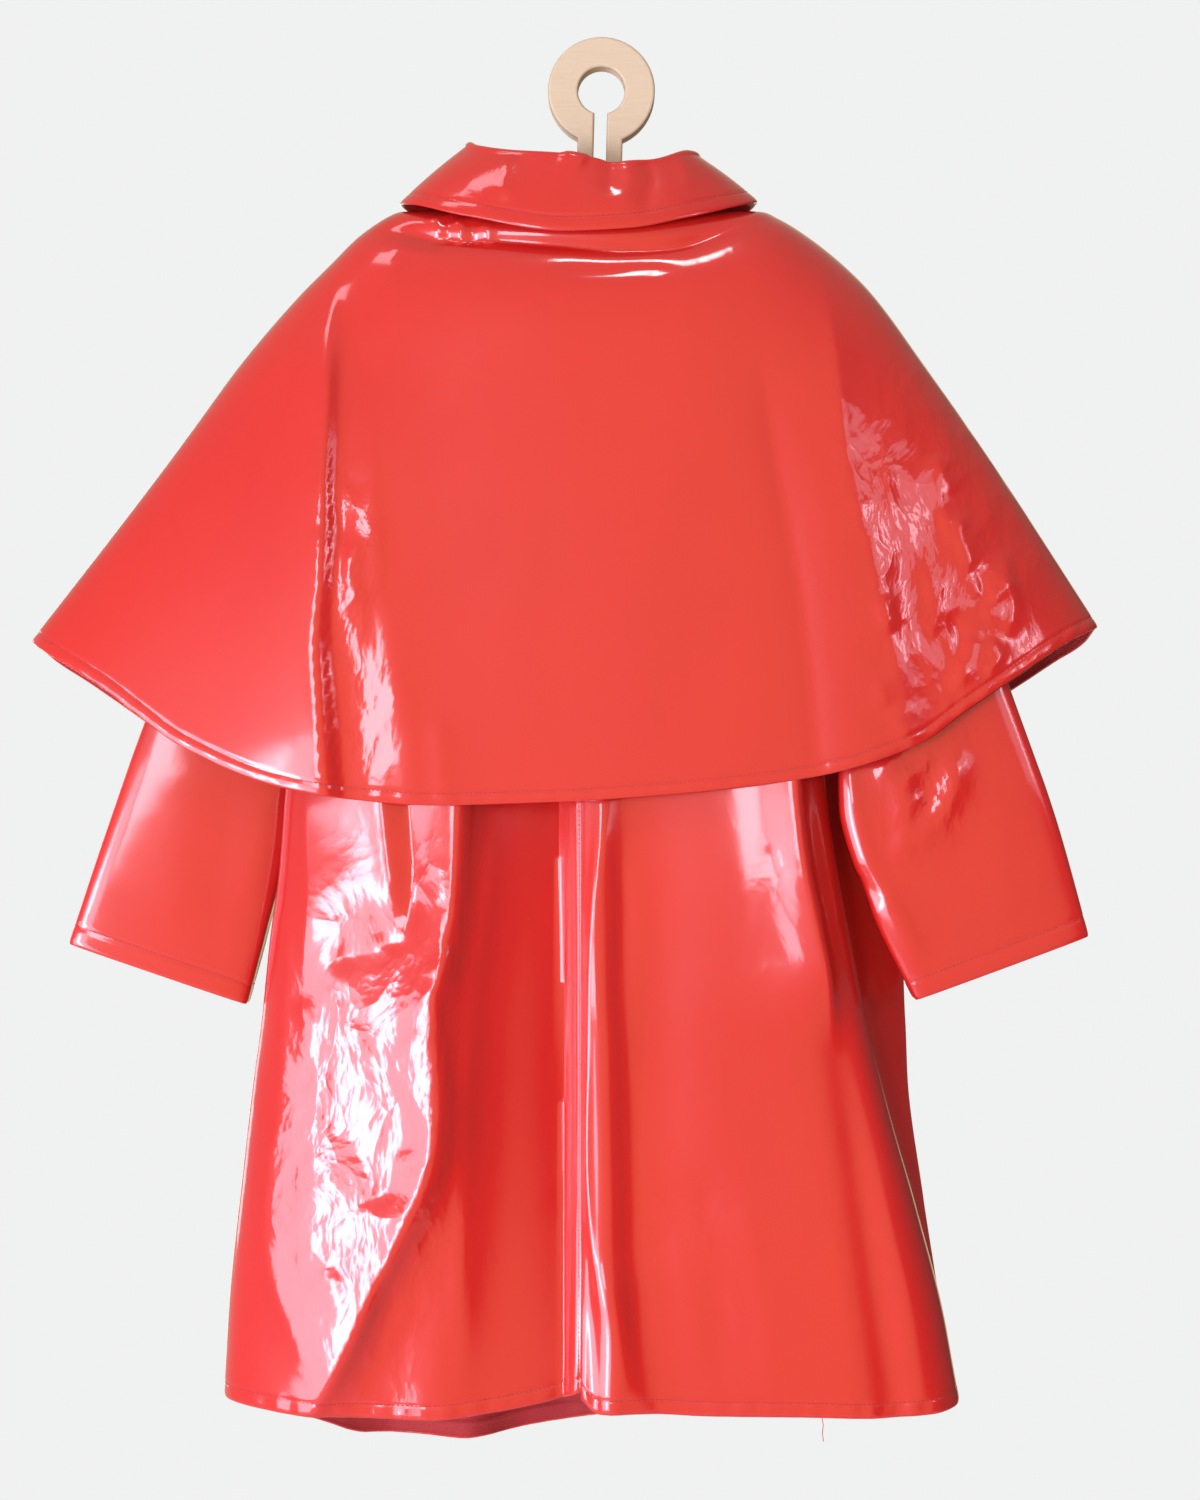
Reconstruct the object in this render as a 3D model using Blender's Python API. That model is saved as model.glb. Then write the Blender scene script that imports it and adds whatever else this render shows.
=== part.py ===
"""Child's raincoat of glossy coated cloth with a shoulder cape, hanging on a flat plywood hanger.

Frame: metres, +Z up. The origin is the top of the hole in the hanger's ring. +X runs along the
hanger, the coat's back faces -Y and its fronts face +Y. Left and right are -X and +X.

Every cloth piece is a wall on a smooth form: form(u, v) gives a point of the piece's middle
surface, and the wall is laid half to each side of it.
"""

import math
from collections import namedtuple

import bpy
from mathutils import Vector

MM = 0.001

# Cloth and sewing
WALL = 1.2 * MM
SEAM_GAP = 0.3 * MM

# Hanger: a ring, a neck and two arms cut from one board
BOARD = 15 * MM
BOARD_EDGE = 1.5 * MM
RING_RADIUS = 32 * MM
HOLE_RADIUS = 14 * MM
NECK_HALF = 13.5 * MM
SLOT_HALF = 3.8 * MM
SLOT_END = -76 * MM
HANGER_LEAN = math.radians(1.5)

# Neck opening, an oval round the coat's centre line
NECK_X = -12 * MM
NECK_HALF_WIDTH = 68 * MM
NECK_HALF_DEPTH = 26 * MM
NECK_BACK_Z = -92 * MM
NECK_FRONT_Z = -104 * MM
CHEST_Z = -305 * MM

# Front edges: the lap's width, its share of a panel, and how it steps in under the other front
LAP = 18 * MM
LAP_U = 0.11
LAP_STEP = 2.6 * MM
LAP_EASE = 22 * MM
CAPE_PARTING_TOP = 4 * MM
CAPE_PARTING_HEM = 16 * MM

# Armholes: half the opening's depth, and the stretch of sleeve that meets them
ARMHOLE_DEPTH = 25 * MM
SLEEVE_HEAD = 0.08

# Collar: the fold's radius, the leaf's rounding and lean, and the shares of its width that the
# stand ends at and the fold ends at
COLLAR_TURN = 2.8 * MM
COLLAR_BULGE = 2 * MM
COLLAR_LEAN = 0.6
COLLAR_END = math.radians(170)
COLLAR_FOOT_LIFT = 1.02 * MM
STAND_SHARE = 0.30
FOLD_SHARE = 0.52

# Buttons on the front edge
BUTTON_RADIUS = 10 * MM
BUTTON_THICKNESS = 3.2 * MM
BUTTON_EDGE = 0.8 * MM
BUTTON_RIM = 7.2 * MM
BUTTON_WELL = 6 * MM
BUTTON_STANDOFF = 1.2 * MM
BUTTON_HEIGHTS = [-160 * MM, -270 * MM, -380 * MM, -490 * MM, -600 * MM]

# Finishes: linear colour, roughness, metallic
CLOTH_RED = ((0.76, 0.045, 0.032, 1), 0.16, 0.0)
PLYWOOD = ((0.78, 0.61, 0.40, 1), 0.55, 0.0)
BUTTON_RED = ((0.60, 0.03, 0.025, 1), 0.30, 0.0)

# The body's rings in mm, from the hem up to the underarm: the two side seams' places, how far
# the right front swings out beyond its seam, and the depths of back and fronts at the centre.
Ring = namedtuple("Ring", "z left left_y right right_y flare back front")
BODY_RINGS = [
    Ring(-793.5, -223.5, -4, 212.0, 0, 0, 48, 44),
    Ring(-737, -219.5, -5, 201.5, 0, 9, 47, 43),
    Ring(-677, -213.5, -6, 186.0, 1, 17, 46, 42),
    Ring(-617, -207.5, -7, 169.5, 2, 25, 44, 41),
    Ring(-570, -200.7, -8, 158.0, 2, 34, 43, 40),
    Ring(-522, -195.3, -8, 148.0, 2, 40, 41, 38),
    Ring(-480, -189.4, -8, 140.0, 2, 38, 40, 37),
    Ring(-432, -185.2, -8, 133.0, 1, 30, 38, 36),
    Ring(-380, -178.5, -5, 129.0, 0, 14, 36, 34),
    Ring(-312, -170.0, 0, 128.0, 0, 0, 33, 32),
]
# Upper back and fronts at the centre, in mm
Depth = namedtuple("Depth", "z back front")
CHEST = [Depth(-312, 33, 32), Depth(-200, 30, 29), Depth(-150, 28, 28), Depth(-88, 26, 26)]

# Hem heights in mm along x, as they hang: each panel's own
Edge = namedtuple("Edge", "x z")
HEM_BACK_LEFT = [Edge(-223.5, -793.5), Edge(-208, -795), Edge(-165, -798), Edge(-100, -799.5),
                 Edge(-78, -797.5), Edge(-26, -788.5), Edge(-12, -783.5)]
HEM_BACK_RIGHT = [Edge(-12, -787.5), Edge(-2, -795.5), Edge(24, -795.5), Edge(60, -797),
                  Edge(118, -797.5), Edge(160, -798.5), Edge(196, -796.5), Edge(212, -793.5)]
HEM_FRONT_LEFT = [Edge(-223.5, -793.5), Edge(-205, -804), Edge(-170, -818), Edge(-145, -827),
                  Edge(-93, -828), Edge(-30, -820), Edge(12, -813)]
HEM_FRONT_RIGHT = [Edge(-36, -818), Edge(0, -812.5), Edge(60, -809), Edge(120, -806),
                   Edge(180, -802), Edge(212, -793.5)]

# Shoulder lines in mm, neck to sleeve head
SHOULDER_LEFT = [Edge(-80, -88), Edge(-100, -89.5), Edge(-121, -94), Edge(-145, -108),
                 Edge(-163, -125), Edge(-180, -143)]
SHOULDER_RIGHT = [Edge(56, -89), Edge(76, -90.5), Edge(93, -94), Edge(107, -101),
                  Edge(125, -112), Edge(143, -125), Edge(160, -140)]

# Hanging folds of the body in mm: where each starts and how it stands at the hem. A height
# over 0 stands out from the coat and one under 0 goes in. Face is -1 on the back, 1 in front.
Fold = namedtuple("Fold", "face start top_x hem_x width height")
BODY_FOLDS = [
    Fold(-1, -330, -146, -172, 26, 6),
    Fold(-1, -300, -88, -92, 20, 10),
    Fold(-1, -300, -50, -40, 19, -15),
    Fold(-1, -300, -3, 6, 9, 5),
    Fold(-1, -300, 24, 34, 12, -5),
    Fold(-1, -300, 92, 118, 32, 8),
    Fold(-1, -420, 118, 172, 12, -4),
    Fold(1, -300, -118, -134, 24, 9),
    Fold(1, -300, -70, -80, 18, -12),
    Fold(1, -420, -20, -26, 22, 5),
    Fold(1, -300, 44, 62, 20, -11),
    Fold(1, -300, 86, 118, 24, 8),
]

# Sleeves in mm: each row is a ring from the armhole (t = 0) to the cuff (t = 1), by the
# places of its outer and inner edge and by half its depth.
Cuff = namedtuple("Cuff", "t outer_x outer_z outer_y inner_x inner_z inner_y depth")
SLEEVE_LEFT = [
    Cuff(0.00, -180, -143, 0, -170, -312, 0, 25),
    Cuff(0.08, -187, -148, 0, -177, -314, 1, 25),
    Cuff(0.20, -196, -166, 2, -183, -322, 4, 24),
    Cuff(0.35, -208, -215, 6, -187, -345, 9, 22),
    Cuff(0.55, -239, -300, 10, -187, -395, 14, 19),
    Cuff(0.75, -269, -377, 12, -189, -455, 15, 16),
    Cuff(0.90, -297, -456, 12, -203, -520, 14, 14),
    Cuff(1.00, -320, -524, 12, -214, -561, 13, 13),
]
SLEEVE_RIGHT = [
    Cuff(0.00, 160, -140, 0, 128, -312, 0, 25),
    Cuff(0.08, 167, -145, 0, 135, -314, -2, 25),
    Cuff(0.20, 176, -162, -3, 140, -323, -7, 23),
    Cuff(0.35, 186, -205, -7, 142, -347, -13, 20),
    Cuff(0.55, 213, -288, -12, 140, -395, -19, 17),
    Cuff(0.75, 240, -368, -16, 141, -442, -22, 15),
    Cuff(0.90, 268, -448, -17, 160, -503, -20, 14),
    Cuff(1.00, 288, -518, -16, 185.5, -556, -16, 13),
]

# Cape in mm: profiles down its back and fronts, its two shoulder ridges, and its hems
Drop = namedtuple("Drop", "v y z")
CAPE_BACK_DROP = [Drop(0, -27.9, -93), Drop(0.03, -34, -97.5), Drop(0.07, -40, -107),
                  Drop(0.13, -44, -124), Drop(0.25, -47, -170), Drop(0.6, -51, -295),
                  Drop(1, -53, -437.5)]
CAPE_FRONT_DROP = [Drop(0, 27.9, -103), Drop(0.03, 34, -107), Drop(0.07, 40, -116),
                   Drop(0.13, 44, -132), Drop(0.25, 46, -172), Drop(0.6, 48, -295),
                   Drop(1, 50, -431)]
Ridge = namedtuple("Ridge", "v x z")
CAPE_RIDGE_LEFT = [Ridge(0, -81.9, -84), Ridge(0.09, -121, -85.8), Ridge(0.105, -127, -88),
                   Ridge(0.16, -145, -100.5), Ridge(0.22, -163, -118.5),
                   Ridge(0.28, -181, -138), Ridge(0.64, -261, -241), Ridge(1, -341.4, -343)]
CAPE_RIDGE_RIGHT = [Ridge(0, 57.9, -84), Ridge(0.10, 96, -86), Ridge(0.13, 107, -91),
                    Ridge(0.18, 125, -102.5), Ridge(0.23, 143, -117), Ridge(0.29, 161, -135),
                    Ridge(0.40, 190, -174), Ridge(0.64, 233, -235.5), Ridge(1, 297, -334)]
CAPE_HEM_BACK_LEFT = [Edge(-341.4, -343), Edge(-330, -350), Edge(-311, -361), Edge(-294, -371.5),
                      Edge(-271, -388.5), Edge(-248, -404.5), Edge(-189, -429), Edge(-150, -436),
                      Edge(-100, -440), Edge(-12, -437.5)]
CAPE_HEM_BACK_RIGHT = [Edge(-12, -437.5), Edge(28, -434.5), Edge(57, -432), Edge(104, -426.5),
                       Edge(133, -421.5), Edge(187, -403.5), Edge(212, -386), Edge(241, -366.5),
                       Edge(279, -342), Edge(297, -334)]
CAPE_HEM_FRONT_LEFT = [Edge(-341.4, -343), Edge(-330, -354), Edge(-311, -367),
                       Edge(-271, -395.5), Edge(-248, -412.5), Edge(-189, -434), Edge(-110, -437),
                       Edge(-12, -431)]
CAPE_HEM_FRONT_RIGHT = [Edge(-12, -431), Edge(60, -430), Edge(120, -421), Edge(187, -404),
                        Edge(216, -389.5), Edge(246, -373), Edge(274, -354.5), Edge(291, -343),
                        Edge(297, -334)]
# Creases of the cape in mm, from the shoulders to the hem, with columns as for the body
CAPE_FOLDS = [
    Fold(-1, -135, -160, -163, 13, 5),
    Fold(-1, -170, -205, -236, 18, -4),
    Fold(-1, -125, 122, 150, 17, 4),
    Fold(-1, -170, 172, 204, 18, -4),
    Fold(-1, -180, -60, -72, 24, -3),
    Fold(-1, -150, 30, 60, 26, 2.5),
    Fold(1, -135, -155, -170, 18, 5),
    Fold(1, -150, -80, -104, 20, -4),
    Fold(1, -135, 118, 142, 18, 4),
    Fold(1, -150, 60, 78, 20, -4),
]

# Collar in mm round the neck: heights of its fold and outer edge, by degrees from the
# centre back, positive towards the left
Leaf = namedtuple("Leaf", "turn fold edge")
COLLAR_RINGS = [
    Leaf(-170, -78, -136), Leaf(-155, -74, -117), Leaf(-140, -68, -101), Leaf(-125, -62, -90),
    Leaf(-110, -55, -83), Leaf(-90, -50.5, -79), Leaf(-68, -51, -83), Leaf(-37, -58.5, -94),
    Leaf(-16, -60.5, -101.5), Leaf(4, -57, -103.5), Leaf(37, -53.5, -93.5),
    Leaf(68, -48, -83), Leaf(90, -44, -80.5), Leaf(110, -50, -83), Leaf(125, -58, -90),
    Leaf(140, -67, -101), Leaf(155, -74, -117), Leaf(170, -78, -136),
]
Oval = namedtuple("Oval", "x half_width back front")
FOLD_OVAL = Oval(-11.5 * MM, 67.5 * MM, 31 * MM, 31 * MM)
EDGE_OVAL = Oval(-14 * MM, 107 * MM, 43.5 * MM, 53 * MM)

# Hanger's upper and lower outline in mm, from the neck to the tip of one arm
ARM_TOP = [Edge(13.5, -66), Edge(17, -77), Edge(27, -85), Edge(45, -91), Edge(70, -97),
           Edge(93, -104), Edge(115, -114), Edge(135, -126), Edge(146, -134)]
ARM_TIP = [Edge(150.5, -140), Edge(150, -146), Edge(145, -149)]
ARM_BOTTOM = [Edge(137, -147), Edge(110, -134), Edge(80, -125), Edge(45, -119), Edge(0, -116)]

# How finely the pieces are divided. Rows crowd towards the top of sleeves and cape.
BODY_COLUMNS = 12
SIDE_ROWS = 14
ARMHOLE_ROWS = 8
SHOULDER_ROWS = 4
SLEEVE_SIDES = 20
SLEEVE_ROWS = 14
SLEEVE_CROWDING = 1.35
CAPE_COLUMNS = 16
CAPE_FRONT_COLUMNS = 14
CAPE_ROWS = 15
CAPE_CROWDING = 1.5
COLLAR_COLUMNS = 34
COLLAR_FOLD_ROWS = 4
COLLAR_LEAF_ROWS = 4
RING_SIDES = 32
HOLE_SIDES = 23
SLOT_SIDES = 6
BUTTON_SIDES = 16

# Shading: creases sharper than this stay sharp
CLOTH_CREASE = math.radians(50)
BUTTON_CREASE = math.radians(40)

# How a body panel is laid out. Up it: the shares at which the armhole and the shoulder's roll
# start, and the stretch over which the hoop of cloth opens out flat above the underarm. Across
# it: the shares that the neck and the right front's swing take.
UNDERARM = 0.70
SHOULDER_START = 0.965
OPENING_OUT = 0.16
NECK_U = 0.45
SWING_U = 0.42

# How the forms are rounded: fuller than an oval by this much, the powers by which the hem's and
# the shoulder's own lines die away inside a panel, and by which folds die away at its edge
FULLNESS = 0.35
CAPE_FULL_FROM = 0.2
HEM_POWER = 5
SHOULDER_POWER = 7
EDGE_POWER = 6
FOLD_GROWTH = 1.6
NECK_ROLL_FROM = 0.6
UNDERARM_POWER = 4

# Step for slopes along a form, in shares, and the halvings that find a height on one
STEP = 1e-4
HALVINGS = 30


def clear_scene():
    for obj in list(bpy.data.objects):
        bpy.data.objects.remove(obj, do_unlink=True)


def material(name, finish):
    colour, roughness, metallic = finish
    made = bpy.data.materials.new(name)
    made.use_nodes = True
    shader = made.node_tree.nodes["Principled BSDF"]
    shader.inputs["Base Color"].default_value = colour
    shader.inputs["Roughness"].default_value = roughness
    shader.inputs["Metallic"].default_value = metallic
    return made


def mix(a, b, share):
    return a + (b - a) * share


def ease(low, high, value):
    """A smooth step from 0 at low to 1 at high."""
    t = min(1.0, max(0.0, (value - low) / (high - low)))
    return t * t * (3 - 2 * t)


def column(rows, name):
    return [getattr(row, name) for row in rows]


def smooth_curve(places, values):
    """A curve through a few points that never overshoots them, flat past both ends."""
    steps = [(values[i + 1] - values[i]) / (places[i + 1] - places[i])
             for i in range(len(places) - 1)]
    slopes = [steps[0]]
    for before, after in zip(steps, steps[1:]):
        slopes.append(2 * before * after / (before + after) if before * after > 0 else 0.0)
    slopes.append(steps[-1])

    def value(place):
        place = min(places[-1], max(places[0], place))
        i = 0
        while i < len(steps) - 1 and place > places[i + 1]:
            i += 1
        span = places[i + 1] - places[i]
        t = (place - places[i]) / span
        return ((2 * t**3 - 3 * t**2 + 1) * values[i] + (t**3 - 2 * t**2 + t) * span * slopes[i]
                + (3 * t**2 - 2 * t**3) * values[i + 1] + (t**3 - t**2) * span * slopes[i + 1])

    return value


def by(rows, key, name):
    """The column `name` of a table in mm as a smooth curve over its column `key`, in metres."""
    rows = sorted(rows, key=lambda row: getattr(row, key))
    scale = 1.0 if key in ("t", "v", "turn") else MM
    places = [place * scale for place in column(rows, key)]
    return smooth_curve(places, [value * MM for value in column(rows, name)])


def fold_height(folds, face, x, z, hem_z):
    """How far the folds of one face stand out from it at a point."""
    total = 0.0
    for fold in folds:
        start = fold.start * MM
        if fold.face != face or z > start:
            continue
        share = (start - z) / (start - hem_z)
        centre = mix(fold.top_x, fold.hem_x, share) * MM
        off = (x - centre) / (fold.width * MM)
        total += fold.height * MM * ease(0, 1, FOLD_GROWTH * share) * math.exp(-off * off)
    return total


def wall_object(name, finish, middle, normals, flip, closed=False):
    """A closed wall on a grid of middle points and outward normals, rows first. flip says that
    the rows and columns run the other way round the normals."""
    rows, cols = len(middle), len(middle[0])
    half = WALL / 2
    points = [p + n * half for pr, nr in zip(middle, normals) for p, n in zip(pr, nr)]
    points += [p - n * half for pr, nr in zip(middle, normals) for p, n in zip(pr, nr)]
    inner = rows * cols

    def at(r, c):
        return r * cols + c % cols

    faces = []
    for r in range(rows - 1):
        for c in range(cols if closed else cols - 1):
            a, b, d, e = at(r, c), at(r, c + 1), at(r + 1, c + 1), at(r + 1, c)
            faces.append((a, b, d, e))
            faces.append((inner + e, inner + d, inner + b, inner + a))
    for c in range(cols if closed else cols - 1):
        a, b = at(0, c), at(0, c + 1)
        faces.append((b, a, inner + a, inner + b))
        a, b = at(rows - 1, c), at(rows - 1, c + 1)
        faces.append((a, b, inner + b, inner + a))
    if not closed:
        for r in range(rows - 1):
            a, b = at(r, 0), at(r + 1, 0)
            faces.append((a, b, inner + b, inner + a))
            a, b = at(r, cols - 1), at(r + 1, cols - 1)
            faces.append((b, a, inner + a, inner + b))
    if flip:
        faces = [tuple(reversed(face)) for face in faces]
    mesh = bpy.data.meshes.new(name)
    mesh.from_pydata(points, [], faces)
    mesh.materials.append(finish)
    mesh.shade_smooth()
    mesh.set_sharp_from_angle(angle=CLOTH_CREASE)
    obj = bpy.data.objects.new(name, mesh)
    bpy.context.scene.collection.objects.link(obj)
    return obj


def surface(form, us, vs, flip, gaps="", rim=None):
    """Middle points and outward normals of form(u, v) over us and vs. gaps names the edges that
    stop half a seam gap short: l and r for the first and last u, b and t for the first and
    last v. rim(u, v, normal) may turn a normal so that an edge lies in its seam's plane."""
    middle, normals = [], []
    for j, v in enumerate(vs):
        row, row_normals = [], []
        for i, u in enumerate(us):
            along_u = form(u + STEP, v) - form(u - STEP, v)
            along_v = form(u, v + STEP) - form(u, v - STEP)
            normal = along_u.cross(along_v).normalized() * (-1 if flip else 1)
            point = form(u, v)
            shift = SEAM_GAP / 2
            if "l" in gaps and i == 0:
                point += along_u.normalized() * shift
            if "r" in gaps and i == len(us) - 1:
                point -= along_u.normalized() * shift
            if "b" in gaps and j == 0:
                point += along_v.normalized() * shift
            if "t" in gaps and j == len(vs) - 1:
                point -= along_v.normalized() * shift
            row.append(point)
            row_normals.append(rim(u, v, normal) if rim else normal)
        middle.append(row)
        normals.append(row_normals)
    return middle, normals


def neck_height(turn, side_z):
    """Height of the neck edge at an angle from the centre back, given its height at the side."""
    share = (1 - math.cos(2 * turn)) / 2
    return mix(NECK_BACK_Z if math.cos(turn) > 0 else NECK_FRONT_Z, side_z, share)


# Body: a ring of four panels. u runs from the centre line (0) to the side (1), v from the hem
# (0) past the underarm up to the shoulder (1).


def body_form(side, face):
    """The form of one panel: side is -1 left or 1 right, face is -1 back or 1 front."""
    name = "left" if side < 0 else "right"
    seam_x, seam_y = by(BODY_RINGS, "z", name), by(BODY_RINGS, "z", name + "_y")
    flare = by(BODY_RINGS, "z", "flare")
    depths = [Depth(ring.z, ring.back, ring.front) for ring in BODY_RINGS] + CHEST[1:]
    depth = by(depths, "z", "back" if face < 0 else "front")
    hem = by({(-1, -1): HEM_BACK_LEFT, (1, -1): HEM_BACK_RIGHT,
              (-1, 1): HEM_FRONT_LEFT, (1, 1): HEM_FRONT_RIGHT}[side, face], "x", "z")
    shoulder_rows = SHOULDER_LEFT if side < 0 else SHOULDER_RIGHT
    shoulder = by(shoulder_rows, "x", "z")
    tip, under = shoulder_rows[-1], BODY_RINGS[-1]
    under_x = getattr(under, name) * MM
    tip_x, tip_z, under_z = tip.x * MM, tip.z * MM, under.z * MM
    hem_corner = BODY_RINGS[0]
    hem_z = hem_corner.z * MM
    neck_z = NECK_BACK_Z if face < 0 else NECK_FRONT_Z
    neck_side_z = shoulder_rows[0].z * MM
    hem_centre = hem(NECK_X)
    neck_share = NECK_HALF_WIDTH / abs(tip_x - NECK_X)

    def side_line(v):
        if v <= UNDERARM:
            z = mix(hem_z, under_z, v / UNDERARM)
            return Vector((seam_x(z), seam_y(z), z))
        angle = math.pi * (1 - (v - UNDERARM) / (1 - UNDERARM))
        share = (1 + math.cos(angle)) / 2
        return Vector((mix(under_x, tip_x, share), face * ARMHOLE_DEPTH * math.sin(angle),
                       mix(under_z, tip_z, share)))

    def centre_line(v):
        if v <= UNDERARM:
            z = mix(hem_centre, CHEST_Z, v / UNDERARM)
        else:
            z = mix(CHEST_Z, neck_z, (v - UNDERARM) / (1 - UNDERARM))
        return Vector((NECK_X, face * depth(z), z))

    def top_line(s):
        x = mix(NECK_X, tip_x, s)
        off = abs(x - NECK_X) / NECK_HALF_WIDTH
        if off >= 1:
            return 0.0, shoulder(x)
        turn = math.asin(off) if face < 0 else math.pi - math.asin(off)
        return face * NECK_HALF_DEPTH * math.sqrt(1 - off * off), neck_height(turn, neck_side_z)

    def form(u, v):
        v = min(1.0, max(0.0, v))
        wrap = u * math.pi / 2
        open_share = ease(UNDERARM, UNDERARM + OPENING_OUT, v)
        if abs(u) < NECK_U:
            spread = neck_share * math.sin(u / NECK_U * math.pi / 2)
        else:
            rest = (abs(u) - NECK_U) / (1 - NECK_U)
            spread = math.copysign(mix(neck_share, 1, rest), u)
        s = mix(math.sin(wrap), spread, open_share)
        if u < 0:
            s = u / LAP_U * LAP / abs(side_line(v).x - NECK_X)
        round_bulge = math.cos(wrap) * (1 + FULLNESS * math.sin(wrap) ** 2)
        bulge = mix(round_bulge, 1 - s * s, open_share)
        centre, edge = centre_line(v), side_line(v)
        x = mix(centre.x, edge.x, s)
        z = mix(centre.z, edge.z, abs(s))
        z += (1 - v) ** HEM_POWER * (hem(x) - mix(hem_centre, hem_z, abs(s)))
        top_y, top_z = top_line(min(1.0, abs(s)))
        z += v**SHOULDER_POWER * (top_z - mix(neck_z, tip_z, min(1.0, abs(s))))
        y = mix(edge.y, centre.y, bulge)
        y += face * fold_height(BODY_FOLDS, face, x, z, hem_centre) * (1 - s**EDGE_POWER)
        if face > 0 and side > 0:
            swing = (1 - abs(u)) / SWING_U
            if 0 < swing < 1:
                x += flare(z) * math.sin(math.pi * swing) ** 2
        if v > SHOULDER_START:
            # The wall rolls over into the shoulder seam, and ends upright at the neck.
            lift = (v - SHOULDER_START) / (1 - SHOULDER_START)
            roll = mix(1, 0.5, ease(NECK_ROLL_FROM, 1, abs(s) / neck_share))
            y = mix(top_y, y, max(0.0, 1 - lift * lift) ** roll)
        return Vector((x, y, z))

    return form


def body_rows():
    rows = [UNDERARM * i / SIDE_ROWS for i in range(SIDE_ROWS + 1)]
    rows += [mix(UNDERARM, SHOULDER_START, i / ARMHOLE_ROWS) for i in range(1, ARMHOLE_ROWS + 1)]
    return rows + [mix(SHOULDER_START, 1, math.sin(i / SHOULDER_ROWS * math.pi / 2))
                   for i in range(1, SHOULDER_ROWS + 1)]


def armhole_rim(side, face):
    """Turns the wall's direction at the armhole into the armhole's own plane."""
    shoulder_rows = SHOULDER_LEFT if side < 0 else SHOULDER_RIGHT
    under = BODY_RINGS[-1]
    under_x = under.left if side < 0 else under.right
    chord = Vector((shoulder_rows[-1].x - under_x, 0, shoulder_rows[-1].z - under.z)) * MM / 2

    def rim(u, v, normal):
        if u < 1 or v <= UNDERARM:
            return normal
        angle = math.pi * (1 - (v - UNDERARM) / (1 - UNDERARM))
        along = chord.normalized() * (math.cos(angle) / chord.length)
        return (along + Vector((0, face * math.sin(angle) / ARMHOLE_DEPTH, 0))).normalized()

    return rim


def body_panel(name, side, face, finish):
    flat = body_form(side, face)

    def lapped(u, v):
        # The fronts lap: the left one steps in and runs on past the centre under the right one.
        point = flat(u, v)
        point.y -= LAP_STEP * ease(LAP + LAP_EASE, LAP, side * (point.x - NECK_X))
        return point

    form = lapped if face > 0 and side < 0 else flat
    first, gaps = (0.0, "lrt") if face < 0 else (-LAP_U, "rt")
    us = [mix(first, 1, i / BODY_COLUMNS) for i in range(BODY_COLUMNS + 1)]
    flip = side * face > 0
    middle, normals = surface(form, us, body_rows(), flip, gaps, armhole_rim(side, face))
    return wall_object(name, finish, middle, normals, flip)


# Sleeves: tubes. u runs once round from the outer edge, v from the armhole to the cuff.

def sleeve(name, rows, finish):
    side = 1 if rows[0].outer_x > 0 else -1
    outer = [by(rows, "t", "outer_" + axis) for axis in "xyz"]
    inner = [by(rows, "t", "inner_" + axis) for axis in "xyz"]
    depth = by(rows, "t", "depth")

    def form(u, v):
        v = min(1.0, max(0.0, v))
        angle = 2 * math.pi * u
        a = Vector([curve(v) for curve in outer])
        b = Vector([curve(v) for curve in inner])
        point = (a + b) / 2 + (a - b) / 2 * math.cos(angle)
        point.y += depth(v) * math.sin(angle)
        if v < SLEEVE_HEAD:
            # The sleeve starts a seam's gap off the armhole, and a wall lower at the underarm.
            below = max(0.0, -math.cos(angle)) ** UNDERARM_POWER
            point.x += side * (SEAM_GAP + below * WALL) * (1 - v / SLEEVE_HEAD)
        return point

    us = [i / SLEEVE_SIDES for i in range(SLEEVE_SIDES)]
    vs = [(i / SLEEVE_ROWS) ** SLEEVE_CROWDING for i in range(SLEEVE_ROWS + 1)]
    chord = Vector((rows[0].outer_x - rows[0].inner_x, 0, rows[0].outer_z - rows[0].inner_z))
    half = chord.length * MM / 2

    def rim(u, v, normal):
        if v > 0:
            return normal
        angle = 2 * math.pi * u
        return (chord.normalized() * (math.cos(angle) / half)
                + Vector((0, math.sin(angle) / depth(0), 0))).normalized()

    flip = side < 0
    middle, normals = surface(form, us, vs, flip, "", rim)
    return wall_object(name, finish, middle, normals, flip, closed=True)


# Cape: u runs from the centre line (0) to the shoulder ridge (1), v from the neck to the hem.

def cape_form(side, face):
    drop = CAPE_BACK_DROP if face < 0 else CAPE_FRONT_DROP
    ridge_rows = CAPE_RIDGE_LEFT if side < 0 else CAPE_RIDGE_RIGHT
    drop_y, drop_z = by(drop, "v", "y"), by(drop, "v", "z")
    ridge_x, ridge_z = by(ridge_rows, "v", "x"), by(ridge_rows, "v", "z")
    hem = by({(-1, -1): CAPE_HEM_BACK_LEFT, (1, -1): CAPE_HEM_BACK_RIGHT,
              (-1, 1): CAPE_HEM_FRONT_LEFT, (1, 1): CAPE_HEM_FRONT_RIGHT}[side, face], "x", "z")
    tip_x = ridge_rows[-1].x * MM
    hem_centre, tip_z = drop[-1].z * MM, ridge_rows[-1].z * MM

    def form(u, v):
        v = min(1.0, max(0.0, v))
        wrap = u * math.pi / 2
        s = math.sin(wrap)
        x = mix(NECK_X, ridge_x(v), s)
        y = drop_y(v) * math.cos(wrap) * (1 + FULLNESS * s * s * ease(0, CAPE_FULL_FROM, v))
        hem_share = (hem(mix(NECK_X, tip_x, s)) - hem_centre) / (tip_z - hem_centre)
        z = mix(drop_z(v), ridge_z(v), mix(s * s, hem_share, v))
        y += face * fold_height(CAPE_FOLDS, face, x, z, hem_centre) * (1 - s**EDGE_POWER)
        return Vector((x, y, z))

    return form


def cape_rows():
    return [(i / CAPE_ROWS) ** CAPE_CROWDING for i in range(CAPE_ROWS + 1)]


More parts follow.
